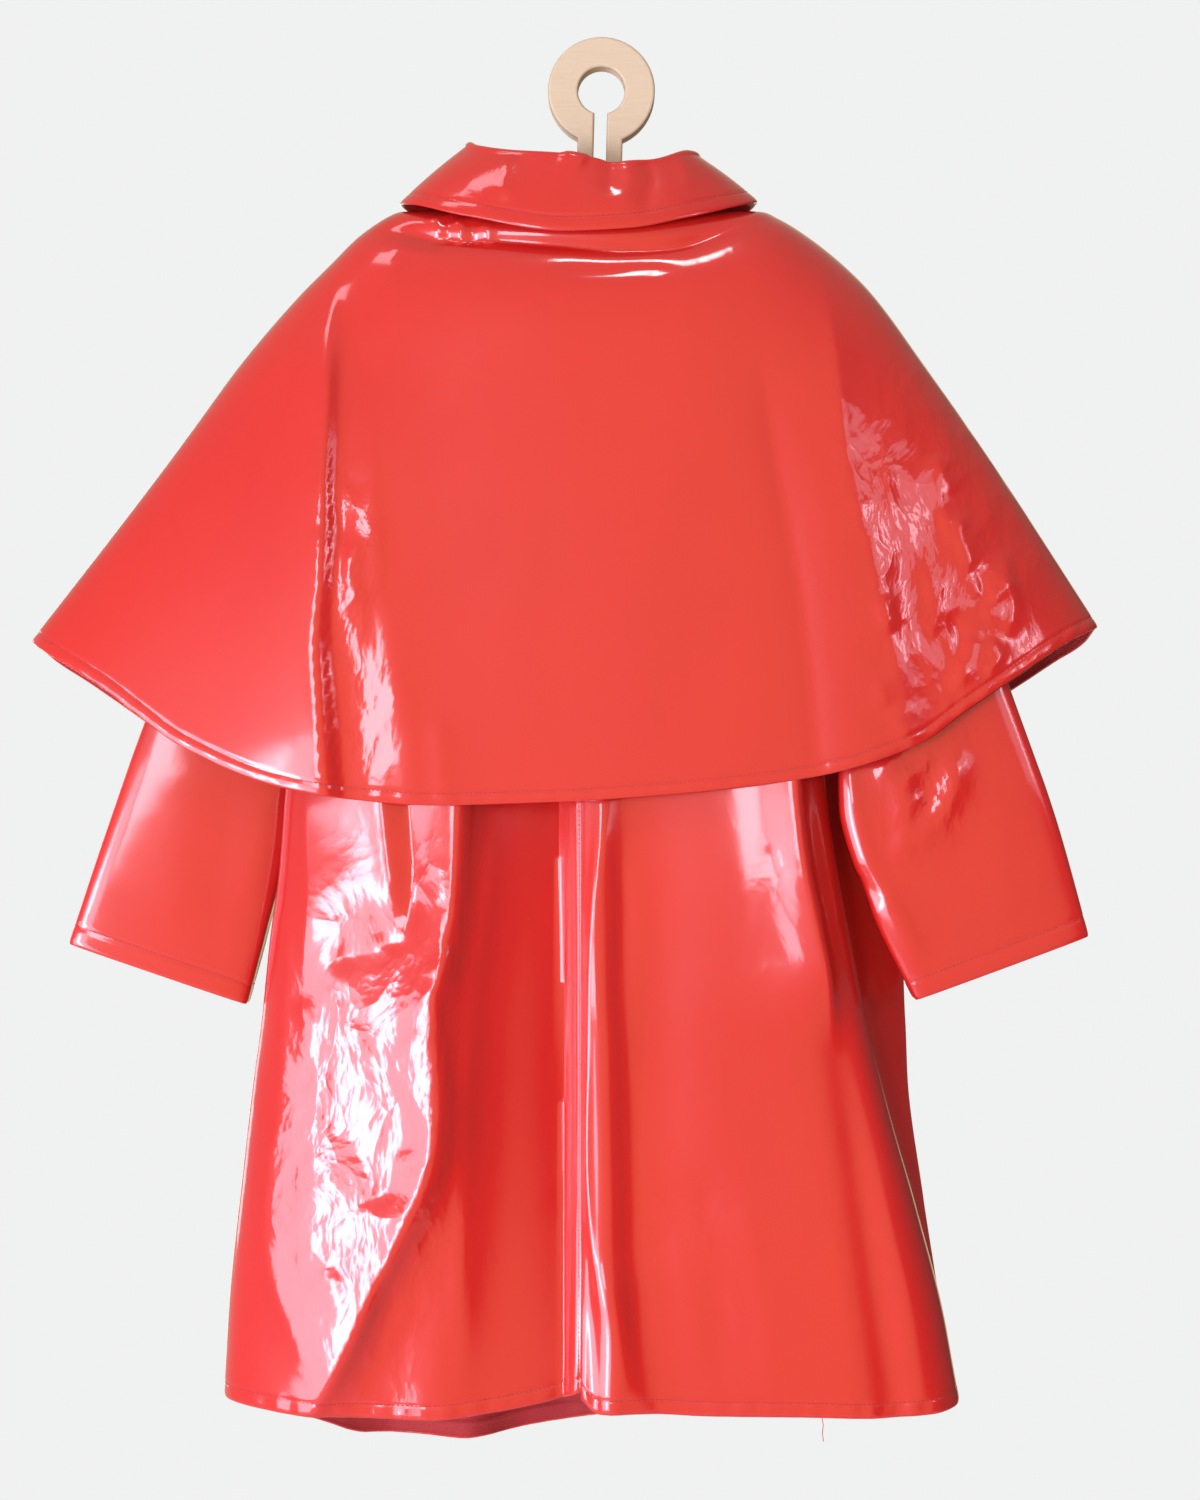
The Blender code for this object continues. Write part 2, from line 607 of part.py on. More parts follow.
def cape_back(name, finish):
    left, right = cape_form(-1, -1), cape_form(1, -1)

    def form(u, v):
        return left(-u, v) if u < 0 else right(u, v)

    us = [i / CAPE_COLUMNS for i in range(-CAPE_COLUMNS, CAPE_COLUMNS + 1)]
    middle, normals = surface(form, us, cape_rows(), True, "lr")
    return wall_object(name, finish, middle, normals, True)


def cape_front(name, side, finish):
    base = cape_form(side, 1)

    def form(u, v):
        # The front edge stands back from the centre line, more so at the hem.
        parting = mix(CAPE_PARTING_TOP, CAPE_PARTING_HEM, v) / 2
        point = base(u, v)
        point.x += side * parting * (1 - u) ** 2
        return point

    us = [i / CAPE_FRONT_COLUMNS for i in range(CAPE_FRONT_COLUMNS + 1)]
    flip = side > 0
    middle, normals = surface(form, us, cape_rows(), flip, "r")
    return wall_object(name, finish, middle, normals, flip)


# Collar: u runs round the neck from front to front, v from the stand's foot over the fold to
# the leaf's outer edge.

def collar(name, finish):
    fold_height_at = by(COLLAR_RINGS, "turn", "fold")
    edge_height_at = by(COLLAR_RINGS, "turn", "edge")

    def oval_point(oval, turn, z):
        depth = oval.back if math.cos(turn) > 0 else oval.front
        return Vector((oval.x - oval.half_width * math.sin(turn), -depth * math.cos(turn), z))

    def form(u, v):
        turn = COLLAR_END * (2 * u - 1)
        side_z = (SHOULDER_LEFT if turn > 0 else SHOULDER_RIGHT)[0].z * MM
        foot = Vector((NECK_X - NECK_HALF_WIDTH * math.sin(turn),
                       -NECK_HALF_DEPTH * math.cos(turn),
                       neck_height(turn, side_z) + COLLAR_FOOT_LIFT))
        degrees = math.degrees(turn)
        fold = oval_point(FOLD_OVAL, turn, fold_height_at(degrees))
        edge = oval_point(EDGE_OVAL, turn, edge_height_at(degrees))
        outward = Vector((-math.sin(turn) / FOLD_OVAL.half_width,
                          -math.cos(turn) / FOLD_OVAL.back, 0)).normalized()
        centre = fold - Vector((0, 0, COLLAR_TURN))
        if v < STAND_SHARE:
            return foot.lerp(centre - outward * COLLAR_TURN, v / STAND_SHARE)
        if v < FOLD_SHARE:
            angle = math.pi * (1 - (v - STAND_SHARE) / (FOLD_SHARE - STAND_SHARE))
            return centre + (outward * math.cos(angle)
                             + Vector((0, 0, math.sin(angle)))) * COLLAR_TURN
        share = (v - FOLD_SHARE) / (1 - FOLD_SHARE)
        point = (centre + outward * COLLAR_TURN).lerp(edge, share)
        lift = COLLAR_BULGE * math.sin(math.pi * share)
        return point + (outward + Vector((0, 0, COLLAR_LEAN))) * lift

    us = [i / COLLAR_COLUMNS for i in range(COLLAR_COLUMNS + 1)]
    vs = [0, STAND_SHARE / 2, STAND_SHARE]
    vs += [mix(STAND_SHARE, FOLD_SHARE, (i + 1) / COLLAR_FOLD_ROWS) for i in range(COLLAR_FOLD_ROWS)]
    vs += [mix(FOLD_SHARE, 1, (i + 1) / COLLAR_LEAF_ROWS) for i in range(COLLAR_LEAF_ROWS)]
    middle, normals = surface(form, us, vs, True)
    return wall_object(name, finish, middle, normals, True)


# Hanger: one board cut to an outline, with the ring's hole and the slot below it.

def hanger_outline():
    """The outer outline in (x, z), once round from the ring's top."""
    neck_turn = math.asin(NECK_HALF / RING_RADIUS)
    centre_z = -HOLE_RADIUS
    ring = []
    for i in range(RING_SIDES + 1):
        turn = mix(neck_turn - math.pi, math.pi - neck_turn, i / RING_SIDES)
        ring.append((RING_RADIUS * math.sin(turn), centre_z + RING_RADIUS * math.cos(turn)))
    arm = [(edge.x * MM, edge.z * MM) for edge in ARM_TOP + ARM_TIP + ARM_BOTTOM]
    return ring + arm + [(-x, z) for x, z in reversed(arm[:-1])]


def hole_outline():
    """The keyhole: the ring's hole and the round-ended slot below it."""
    slot_turn = math.asin(SLOT_HALF / HOLE_RADIUS)
    points = []
    for i in range(HOLE_SIDES + 1):
        turn = mix(slot_turn - math.pi, math.pi - slot_turn, i / HOLE_SIDES)
        points.append((HOLE_RADIUS * math.sin(turn), HOLE_RADIUS * (math.cos(turn) - 1)))
    for i in range(SLOT_SIDES + 1):
        turn = math.pi * i / SLOT_SIDES
        points.append((SLOT_HALF * math.cos(turn), SLOT_END - SLOT_HALF * math.sin(turn)))
    return points


def board_object(name, finish, outline, holes):
    """A flat board cut to an outline, as a filled curve with rounded edges."""
    curve = bpy.data.curves.new(name, "CURVE")
    curve.dimensions = "2D"
    curve.fill_mode = "BOTH"
    curve.extrude = BOARD / 2 - BOARD_EDGE
    curve.bevel_depth = BOARD_EDGE
    curve.offset = -BOARD_EDGE
    curve.bevel_resolution = 0
    for points in [outline] + holes:
        spline = curve.splines.new("POLY")
        spline.points.add(len(points) - 1)
        for slot, (x, z) in zip(spline.points, points):
            slot.co = (x, z, 0, 1)
        spline.use_cyclic_u = True
    curve.materials.append(finish)
    obj = bpy.data.objects.new(name, curve)
    obj.rotation_euler = (math.pi / 2, HANGER_LEAN, 0)
    bpy.context.scene.collection.objects.link(obj)
    return obj


# Buttons: turned discs with a rounded edge, standing just off the lapped front.

def button(name, finish, height):
    front = body_form(1, 1)
    low, high = 0.0, 1.0
    for _ in range(HALVINGS):
        middle_v = (low + high) / 2
        low, high = (middle_v, high) if front(0, middle_v).z < height else (low, middle_v)
    place = front(0, low)
    tangent = (front(0, low + STEP) - front(0, low - STEP)).normalized()
    normal = tangent.cross(Vector((1, 0, 0))).normalized()
    if normal.y < 0:
        normal = -normal
    profile = [(0, 0), (BUTTON_RADIUS - BUTTON_EDGE, 0), (BUTTON_RADIUS, BUTTON_EDGE),
               (BUTTON_RADIUS, BUTTON_THICKNESS - BUTTON_EDGE),
               (BUTTON_RADIUS - BUTTON_EDGE, BUTTON_THICKNESS),
               (BUTTON_RIM, BUTTON_THICKNESS),
               (BUTTON_WELL, BUTTON_THICKNESS - BUTTON_EDGE),
               (0, BUTTON_THICKNESS - BUTTON_EDGE)]
    across = Vector((1, 0, 0))
    up = normal.cross(across)
    base = place + normal * (WALL / 2 + BUTTON_STANDOFF)
    points, faces = [], []
    for radius, lift in profile[1:-1]:
        for i in range(BUTTON_SIDES):
            turn = 2 * math.pi * i / BUTTON_SIDES
            points.append(base + normal * lift
                          + (across * math.cos(turn) + up * math.sin(turn)) * radius)
    rings = len(profile) - 2
    for ring in range(rings - 1):
        for i in range(BUTTON_SIDES):
            a, b = ring * BUTTON_SIDES + i, ring * BUTTON_SIDES + (i + 1) % BUTTON_SIDES
            faces.append((a, b, b + BUTTON_SIDES, a + BUTTON_SIDES))
    faces.append(tuple(reversed(range(BUTTON_SIDES))))
    faces.append(tuple((rings - 1) * BUTTON_SIDES + i for i in range(BUTTON_SIDES)))
    mesh = bpy.data.meshes.new(name)
    mesh.from_pydata(points, [], faces)
    mesh.materials.append(finish)
    mesh.shade_smooth()
    mesh.set_sharp_from_angle(angle=BUTTON_CREASE)
    obj = bpy.data.objects.new(name, mesh)
    bpy.context.scene.collection.objects.link(obj)
    return obj


clear_scene()
cloth = material("coated_cloth", CLOTH_RED)
wood = material("plywood", PLYWOOD)
plastic = material("button_plastic", BUTTON_RED)

board_object("hanger", wood, hanger_outline(), [hole_outline()])
body_panel("back_left", -1, -1, cloth)
body_panel("back_right", 1, -1, cloth)
body_panel("front_left", -1, 1, cloth)
body_panel("front_right", 1, 1, cloth)
sleeve("sleeve_left", SLEEVE_LEFT, cloth)
sleeve("sleeve_right", SLEEVE_RIGHT, cloth)
cape_back("cape_back", cloth)
cape_front("cape_front_left", -1, cloth)
cape_front("cape_front_right", 1, cloth)
collar("collar", cloth)
for number, height in enumerate(BUTTON_HEIGHTS, 1):
    button(f"button_{number}", plastic, height)
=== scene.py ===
"""Looks of a child's raincoat of glossy coated cloth, with a shoulder cape, hanging on a
plywood hanger. The frame has +Z up and the coat's back faces -Y. Tables and forms of the
cloth are in millimetres, and meshes are made in metres."""

import math
from collections import namedtuple

import bmesh
import bpy
import numpy as np
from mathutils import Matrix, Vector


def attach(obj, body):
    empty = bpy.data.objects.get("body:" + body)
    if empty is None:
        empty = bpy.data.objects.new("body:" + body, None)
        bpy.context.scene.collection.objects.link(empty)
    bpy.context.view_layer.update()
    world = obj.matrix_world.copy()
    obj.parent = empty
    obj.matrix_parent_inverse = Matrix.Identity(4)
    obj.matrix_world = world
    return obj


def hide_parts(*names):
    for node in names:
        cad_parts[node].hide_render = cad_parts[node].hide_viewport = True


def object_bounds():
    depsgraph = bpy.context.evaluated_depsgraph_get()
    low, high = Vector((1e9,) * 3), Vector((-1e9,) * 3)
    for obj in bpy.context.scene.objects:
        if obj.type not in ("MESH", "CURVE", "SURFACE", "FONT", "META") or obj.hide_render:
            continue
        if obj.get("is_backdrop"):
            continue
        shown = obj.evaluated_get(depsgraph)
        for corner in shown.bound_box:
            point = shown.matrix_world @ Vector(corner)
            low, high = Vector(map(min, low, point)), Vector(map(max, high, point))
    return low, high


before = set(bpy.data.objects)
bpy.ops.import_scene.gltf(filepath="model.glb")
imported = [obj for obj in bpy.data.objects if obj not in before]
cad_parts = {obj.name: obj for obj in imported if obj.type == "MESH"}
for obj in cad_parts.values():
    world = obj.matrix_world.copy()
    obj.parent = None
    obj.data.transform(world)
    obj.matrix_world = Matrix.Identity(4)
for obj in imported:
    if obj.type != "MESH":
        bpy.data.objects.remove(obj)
cad_box = [list(corner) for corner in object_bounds()]
MM = 0.001


# Hanger. A board of birch plywood, 15 mm thick, cut with a router to a ring, a neck and two
# arms. Its edges are rounded and sanded, and the ring's hole runs on into a slot.

BOARD = 15
BOARD_ROUNDING = 1.5
RING_RADIUS = 32
HOLE_RADIUS = 14
NECK_HALF = 13.5
SLOT_HALF = 3.8
SLOT_END = -76
HANGER_LEAN = math.radians(1.5)
RING_SIDES = 96
SLOT_SIDES = 12
ARM_STEPS = 4
PLIES = 9
PLY_PALE = (0.58, 0.50, 0.36, 1)
PLY_TAN = (0.47, 0.36, 0.235, 1)
PLY_BROWN = (0.32, 0.18, 0.10, 1)
SMOOTH_ANGLE = math.radians(35)

Edge = namedtuple("Edge", "x z")
ARM_TOP = [Edge(13.5, -66), Edge(17, -77), Edge(27, -85), Edge(45, -91), Edge(70, -97),
           Edge(93, -104), Edge(115, -114), Edge(135, -126), Edge(146, -134)]
ARM_TIP = [Edge(150.5, -140), Edge(150, -146), Edge(145, -149)]
ARM_BOTTOM = [Edge(137, -147), Edge(110, -134), Edge(80, -125), Edge(45, -119), Edge(0, -116)]


def mix(a, b, share):
    return a + (b - a) * share


def turned(low, high, sides, radius, centre_z):
    """Points of an arc from one angle off the top to another."""
    angles = np.linspace(low, high, sides + 1)
    return [(radius * math.sin(a), centre_z + radius * math.cos(a)) for a in angles]


def rounded_path(points, steps):
    """A smooth path through points, in straight steps."""
    points = np.array(points, float)
    before = np.vstack([2 * points[0] - points[1], points[:-2], points[-2:-1]])[:-1]
    after = np.vstack([points[2:], 2 * points[-1] - points[-2]])
    path = []
    for a, b, c, d in zip(before, points[:-1], points[1:], after):
        for t in np.arange(steps) / steps:
            path.append(b + 0.5 * t * (c - a + t * (2 * a - 5 * b + 4 * c - d
                                                    + t * (3 * (b - c) + d - a))))
    return [tuple(p) for p in path] + [tuple(points[-1])]


def hanger_outline():
    turn = math.pi - math.asin(NECK_HALF / RING_RADIUS)
    ring = turned(-turn, turn, RING_SIDES, RING_RADIUS, -HOLE_RADIUS)
    arm = rounded_path([tuple(e) for e in ARM_TOP + ARM_TIP + ARM_BOTTOM], ARM_STEPS)
    return ring + arm + [(-x, z) for x, z in reversed(arm[:-1])]


def hole_outline():
    turn = math.pi - math.asin(SLOT_HALF / HOLE_RADIUS)
    hole = turned(-turn, turn, RING_SIDES, HOLE_RADIUS, -HOLE_RADIUS)
    return hole + turned(math.pi / 2, 3 * math.pi / 2, SLOT_SIDES, SLOT_HALF, SLOT_END)


def linked(name, data):
    """A new object in the scene."""
    made = bpy.data.objects.new(name, data)
    bpy.context.scene.collection.objects.link(made)
    return made


def choose(obj):
    """Makes an object the active one, and the only one that is selected."""
    bpy.ops.object.select_all(action="DESELECT")
    obj.select_set(True)
    bpy.context.view_layer.objects.active = obj


def applied(obj):
    """Makes a curve a mesh, and puts the object's place into its mesh."""
    choose(obj)
    if obj.type == "CURVE":
        bpy.ops.object.convert(target="MESH")
    bpy.ops.object.transform_apply(location=True, rotation=True, scale=True)
    obj.select_set(False)
    return obj


def smooth(obj):
    """Shades a mesh smooth, with its edges kept sharp."""
    choose(obj)
    bpy.ops.object.shade_smooth_by_angle(angle=SMOOTH_ANGLE)
    obj.select_set(False)


def add_spline(curve, places, cyclic=False):
    """Adds straight runs through places in millimetres to a curve."""
    spline = curve.splines.new("POLY")
    spline.points.add(len(places) - 1)
    for point, place in zip(spline.points, places):
        point.co = (*(value * MM for value in place), 1)
    spline.use_cyclic_u = cyclic


def hanger_board():
    curve = bpy.data.curves.new("hanger_board", "CURVE")
    curve.dimensions = "2D"
    curve.fill_mode = "BOTH"
    curve.extrude = (BOARD / 2 - BOARD_ROUNDING) * MM
    curve.bevel_depth = BOARD_ROUNDING * MM
    curve.offset = -BOARD_ROUNDING * MM
    curve.bevel_resolution = 3
    for outline in (hanger_outline(), hole_outline()):
        add_spline(curve, [(x, z, 0) for x, z in outline], cyclic=True)
    board = linked("hanger_board", curve)
    board.rotation_euler = (math.pi / 2, HANGER_LEAN, 0)
    return applied(board)


def fill(tree, node, inputs):
    """Sets a node's inputs to numbers, colours or other nodes' outputs."""
    for name, value in inputs.items():
        if isinstance(value, bpy.types.NodeSocket):
            tree.links.new(value, node.inputs[name])
        else:
            node.inputs[name].default_value = value


def add_node(tree, kind, inputs=None, **settings):
    made = tree.nodes.new(kind)
    for name, value in settings.items():
        setattr(made, name, value)
    fill(tree, made, inputs or {})
    return made


def maths(tree, operation, a, b=0.0):
    return add_node(tree, "ShaderNodeMath", {0: a, 1: b}, operation=operation).outputs[0]


def product(tree, a, b):
    return maths(tree, "MULTIPLY", a, b)


def part_of(tree, vector, index):
    """One of the three numbers of a vector."""
    return add_node(tree, "ShaderNodeSeparateXYZ", {0: vector}).outputs[index]


def object_coords(tree):
    return add_node(tree, "ShaderNodeTexCoord").outputs["Object"]


def stretched_noise(tree, coords, stretch, scale, detail=2.0, kind="FBM"):
    """A noise texture drawn out along the axes by a stretch."""
    place = add_node(tree, "ShaderNodeMapping", {"Vector": coords, "Scale": stretch})
    noise = add_node(tree, "ShaderNodeTexNoise",
                     {"Vector": place.outputs[0], "Scale": scale, "Detail": detail},
                     noise_type=kind)
    return noise.outputs[0]


def blended(tree, share, a, b):
    """A colour between two others."""
    return add_node(tree, "ShaderNodeMix", {0: share, 6: a, 7: b}, data_type="RGBA").outputs[2]


def between(tree, share, low, high):
    """A value that runs from low to high as its share runs from 0 to 1."""
    return add_node(tree, "ShaderNodeMapRange", {0: share, 3: low, 4: high}).outputs[0]


def bumped(tree, height):
    """The normal of a surface with a relief of a height in metres."""
    return add_node(tree, "ShaderNodeBump", {"Height": height, "Distance": 1.0}).outputs[0]


def new_material(name):
    """A material, its node tree and its shader."""
    made = bpy.data.materials.new(name)
    made.use_nodes = True
    return made, made.node_tree, made.node_tree.nodes["Principled BSDF"]


def plywood():
    made, tree, shader = new_material("birch_plywood")
    coords = object_coords(tree)
    grain = stretched_noise(tree, coords, (18, 18, 230), 3.0, 5.0)
    flecks = stretched_noise(tree, coords, (60, 60, 700), 4.0)
    face = blended(tree, product(tree, grain, 0.55), PLY_PALE, PLY_TAN)
    marked = product(tree, maths(tree, "GREATER_THAN", flecks, 0.66), 0.35)
    face = blended(tree, marked, face, PLY_TAN)
    # Plies show on the cut edge as lines through the board's thickness
    across = part_of(tree, coords, 1)
    ply = maths(tree, "PINGPONG", product(tree, across, PLIES / (BOARD * MM)), 1.0)
    dark_ply = product(tree, maths(tree, "GREATER_THAN", ply, 0.52), 0.62)
    edge_grain = stretched_noise(tree, coords, (90, 300, 90), 5.0)
    cut = blended(tree, dark_ply, PLY_TAN, PLY_BROWN)
    cut = blended(tree, product(tree, edge_grain, 0.3), cut, PLY_BROWN)
    normal = add_node(tree, "ShaderNodeNewGeometry").outputs["Normal"]
    facing = maths(tree, "ABSOLUTE", part_of(tree, normal, 1))
    on_edge = maths(tree, "LESS_THAN", facing, 0.6)
    fill(tree, shader, {"Base Color": blended(tree, on_edge, face, cut),
                        "Roughness": between(tree, grain, 0.42, 0.6),
                        "Normal": bumped(tree, product(tree, grain, 0.12 * MM))})
    return made


hanger = hanger_board()
hanger.data.materials.clear()
hanger.data.materials.append(plywood())
smooth(hanger)
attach(hanger, "root")
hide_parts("hanger")


# Cloth. A woven base coated on its outside with a thick glossy layer, red right through. The
# coating is nearly smooth, and where it was folded or squeezed it keeps crisp little creases.

COATING = (0.585, 0.017, 0.010, 1)
COATING_DEEP = (0.49, 0.009, 0.010, 1)
BACKING = (0.46, 0.012, 0.016, 1)
BACKING_DEEP = (0.30, 0.006, 0.010, 1)
THREAD = (0.52, 0.010, 0.022, 1)
THREAD_DEEP = 0.55

# The layers of the coating's relief: how fine each is, and how far it rises. WANDER is how far
# the creases stray from straight lines, in metres.
Layer = namedtuple("Layer", "scale rise")
WRINKLES = Layer(34, 0.5 * MM)
FACETS = [Layer(30, 1.5 * MM), Layer(80, 0.5 * MM), Layer(260, 0.1 * MM)]
WAVES = Layer(13, 0.9 * MM)
RIPPLES = Layer(62, 0.07 * MM)
PEEL = Layer(520, 0.006 * MM)
WANDER_SCALE = 22
WANDER = 0.03


def coating_relief():
    """A group that gives the coating's relief in metres and its change of tone."""
    group = bpy.data.node_groups.new("coating_relief", "ShaderNodeTree")
    for name, way in (("Creased", "INPUT"), ("Height", "OUTPUT"), ("Tone", "OUTPUT")):
        group.interface.new_socket(name, in_out=way, socket_type="NodeSocketFloat")
    given = group.nodes.new("NodeGroupInput").outputs
    coords = object_coords(group)
    wander = add_node(group, "ShaderNodeTexNoise",
                      {"Vector": coords, "Scale": WANDER_SCALE, "Detail": 1.0})
    push = add_node(group, "ShaderNodeVectorMath", {0: wander.outputs[1], 1: (0.5, 0.5, 0.5)},
                    operation="SUBTRACT")
    push = add_node(group, "ShaderNodeVectorMath", {0: push.outputs[0], "Scale": WANDER},
                    operation="SCALE")
    moved = add_node(group, "ShaderNodeVectorMath", {0: coords, 1: push.outputs[0]},
                     operation="ADD").outputs[0]
    wrinkles = stretched_noise(group, moved, (1, 1, 0.5), WRINKLES.scale,
                               kind="RIDGED_MULTIFRACTAL")
    creased = product(group, wrinkles, WRINKLES.rise)
    drawn = add_node(group, "ShaderNodeMapping", {"Vector": moved, "Scale": (1, 1, 0.6)})
    for scale, rise in FACETS:
        facets = add_node(group, "ShaderNodeTexVoronoi",
                          {"Vector": drawn.outputs[0], "Scale": scale})
        creased = maths(group, "ADD", creased, product(group, facets.outputs[0], rise))
    height = product(group, creased, given[0])
    peel = add_node(group, "ShaderNodeTexNoise",
                    {"Vector": coords, "Scale": PEEL.scale, "Detail": 1.0}).outputs[0]
    for texture, rise in (
            (stretched_noise(group, coords, (1, 1, 0.45), WAVES.scale, 1.0), WAVES.rise),
            (stretched_noise(group, moved, (1, 1, 0.7), RIPPLES.scale, 1.0), RIPPLES.rise),
            (peel, PEEL.rise)):
        height = maths(group, "ADD", height, product(group, texture, rise))
    tone = stretched_noise(group, coords, (1, 1, 0.6), 9.0, 4.0)
    fill(group, group.nodes.new("NodeGroupOutput"), {0: height, 1: tone})
    return group


def coated_cloth():
    made, tree, shader = new_material("glossy_coating")
    creased = add_node(tree, "ShaderNodeAttribute", attribute_name="creased").outputs["Fac"]
    relief = add_node(tree, "ShaderNodeGroup", {"Creased": creased},
                      node_tree=coating_relief()).outputs
    normal = bumped(tree, relief["Height"])
    fill(tree, shader, {"Base Color": blended(tree, relief["Tone"], COATING, COATING_DEEP),
                        "Roughness": 0.4, "Specular IOR Level": 0.25, "Coat Weight": 1.0,
                        "Coat Roughness": 0.10, "Coat IOR": 1.56,
                        "Normal": normal, "Coat Normal": normal})
    return made


def cloth_backing():
    made, tree, shader = new_material("cloth_backing")
    coords = object_coords(tree)
    threads = [add_node(tree, "ShaderNodeTexWave",
                        {"Vector": coords, "Scale": 260.0, "Distortion": 0.6, "Detail": 1.0},
                        wave_type="BANDS", bands_direction=direction).outputs["Fac"]
               for direction in "XZ"]
    weave = product(tree, *threads)
    fill(tree, shader, {"Base Color": blended(tree, weave, BACKING_DEEP, BACKING),
                        "Roughness": 0.72, "Sheen Weight": 0.25,
                        "Normal": bumped(tree, product(tree, weave, 0.1 * MM))})
    return made


def darker(colour, share):
    return (*(value * share for value in colour[:3]), 1)


def sewing_thread():
    made, tree, shader = new_material("sewing_thread")
    twist = add_node(tree, "ShaderNodeTexWave", {"Vector": object_coords(tree), "Scale": 900.0},
                     wave_type="BANDS", bands_direction="DIAGONAL").outputs["Fac"]
    fill(tree, shader, {"Base Color": blended(tree, twist, darker(THREAD, THREAD_DEEP), THREAD),
                        "Roughness": 0.5, "Sheen Weight": 0.3})
    return made


OUTSIDE, INSIDE, SEWN = coated_cloth(), cloth_backing(), sewing_thread()


# Back panels. Two A-line panels hang from the shoulders in long soft folds and meet in a
# centre-back seam, whose allowance is pressed to the left and topstitched. The hem is turned up.

SIDES = {-1: "left", 1: "right"}
NECK_X = -12
NECK_HALF_WIDTH = 68
NECK_HALF_DEPTH = 26
NECK_BACK_Z = -92
NECK_FRONT_Z = -104
CHEST_Z = -305
LAP = 18
LAP_U = 0.11
LAP_STEP = 2.6
LAP_EASE = 22
ARMHOLE_DEPTH = 25
UNDERARM = 0.70
SHOULDER_START = 0.965
OPENING_OUT = 0.16
NECK_U = 0.45
SWING_U = 0.42
FULLNESS = 0.35
RIGHT_FLATNESS = 0.4
HEM_POWER = 5
SHOULDER_POWER = 7
EDGE_POWER = 6
FOLD_GROWTH = 1.6
NECK_ROLL_FROM = 0.6

# The body's rings from the hem up to the underarm: the places of the two side seams, how far
# the right front swings out, and the depths of back and fronts at the centre.
Ring = namedtuple("Ring", "z left left_y right right_y flare back front")
BODY_RINGS = [
    Ring(-793.5, -223.5, -4, 212.0, 0, 0, 48, 44),
    Ring(-737, -219.5, -5, 201.5, 0, 9, 47, 43),
    Ring(-677, -213.5, -6, 186.0, 1, 17, 46, 42),
    Ring(-617, -207.5, -7, 169.5, 2, 25, 44, 41),
    Ring(-570, -200.7, -8, 158.0, 2, 34, 43, 40),
    Ring(-522, -195.3, -8, 148.0, 2, 40, 41, 38),
    Ring(-480, -189.4, -8, 140.0, 2, 38, 40, 37),
    Ring(-432, -185.2, -8, 133.0, 1, 30, 38, 36),
    Ring(-380, -178.5, -5, 129.0, 0, 14, 36, 34),
    Ring(-312, -170.0, 0, 128.0, 0, 0, 33, 32),
]
Depth = namedtuple("Depth", "z back front")
CHEST = [Depth(-200, 30, 29), Depth(-150, 28, 28), Depth(-88, 26, 26)]

# Hem heights along x, by side and face: -1 left and 1 right, -1 back and 1 front
HEMS = {
    (-1, -1): [Edge(-223.5, -793.5), Edge(-208, -795), Edge(-165, -798), Edge(-100, -799.5),
               Edge(-78, -797.5), Edge(-26, -788.5), Edge(-12, -783.5)],
    (1, -1): [Edge(-12, -787.5), Edge(-2, -795.5), Edge(24, -795.5), Edge(60, -797),
              Edge(118, -797.5), Edge(160, -798.5), Edge(196, -796.5), Edge(212, -793.5)],
    (-1, 1): [Edge(-223.5, -793.5), Edge(-205, -804), Edge(-170, -818), Edge(-145, -827),
              Edge(-93, -828), Edge(-30, -820), Edge(12, -813)],
    (1, 1): [Edge(-36, -818), Edge(0, -812.5), Edge(60, -809), Edge(120, -806),
             Edge(180, -802), Edge(212, -793.5)],
}
SHOULDERS = {
    -1: [Edge(-80, -88), Edge(-100, -89.5), Edge(-121, -94), Edge(-145, -108),
         Edge(-163, -125), Edge(-180, -143)],
    1: [Edge(56, -89), Edge(76, -90.5), Edge(93, -94), Edge(107, -101),
        Edge(125, -112), Edge(143, -125), Edge(160, -140)],
}

# Hanging folds: where each starts and how it stands at the hem, over 0 outwards
Fold = namedtuple("Fold", "face start top_x hem_x width height")
BODY_FOLDS = [
    Fold(-1, -330, -146, -172, 30, 2),
    Fold(-1, -300, -88, -96, 24, 4),
    Fold(-1, -300, -3, 6, 9, 5),
    Fold(-1, -300, 26, 36, 22, -1.5),
    Fold(-1, -300, 90, 215, 28, 5),
    Fold(-1, -420, 118, 172, 12, -4),
    Fold(1, -300, -118, -134, 24, 9),
    Fold(1, -300, -70, -80, 18, -12),
    Fold(1, -420, -20, -26, 22, 5),
    Fold(1, -300, 44, 62, 20, -11),
    Fold(1, -300, 86, 118, 24, 8),
]


def ease(low, high, value):
    """A smooth step from 0 at low to 1 at high."""
    t = np.clip((value - low) / (high - low), 0, 1)
    return t * t * (3 - 2 * t)


def smooth_curve(places, values):
    """A curve through a few points that never overshoots them, flat past both ends."""
    places, values = np.array(places, float), np.array(values, float)
    steps = np.diff(values) / np.diff(places)
    product, total = steps[:-1] * steps[1:], steps[:-1] + steps[1:]
    inner = np.where(product > 0, 2 * product / np.where(product > 0, total, 1), 0)
    slopes = np.concatenate([steps[:1], inner, steps[-1:]])

    def value(place):
        place = np.clip(place, places[0], places[-1])
        i = np.clip(np.searchsorted(places, place, side="right") - 1, 0, len(steps) - 1)
        span = places[i + 1] - places[i]
        t = (place - places[i]) / span
        return ((2 * t**3 - 3 * t**2 + 1) * values[i] + (t**3 - 2 * t**2 + t) * span * slopes[i]
                + (3 * t**2 - 2 * t**3) * values[i + 1] + (t**3 - t**2) * span * slopes[i + 1])

    return value


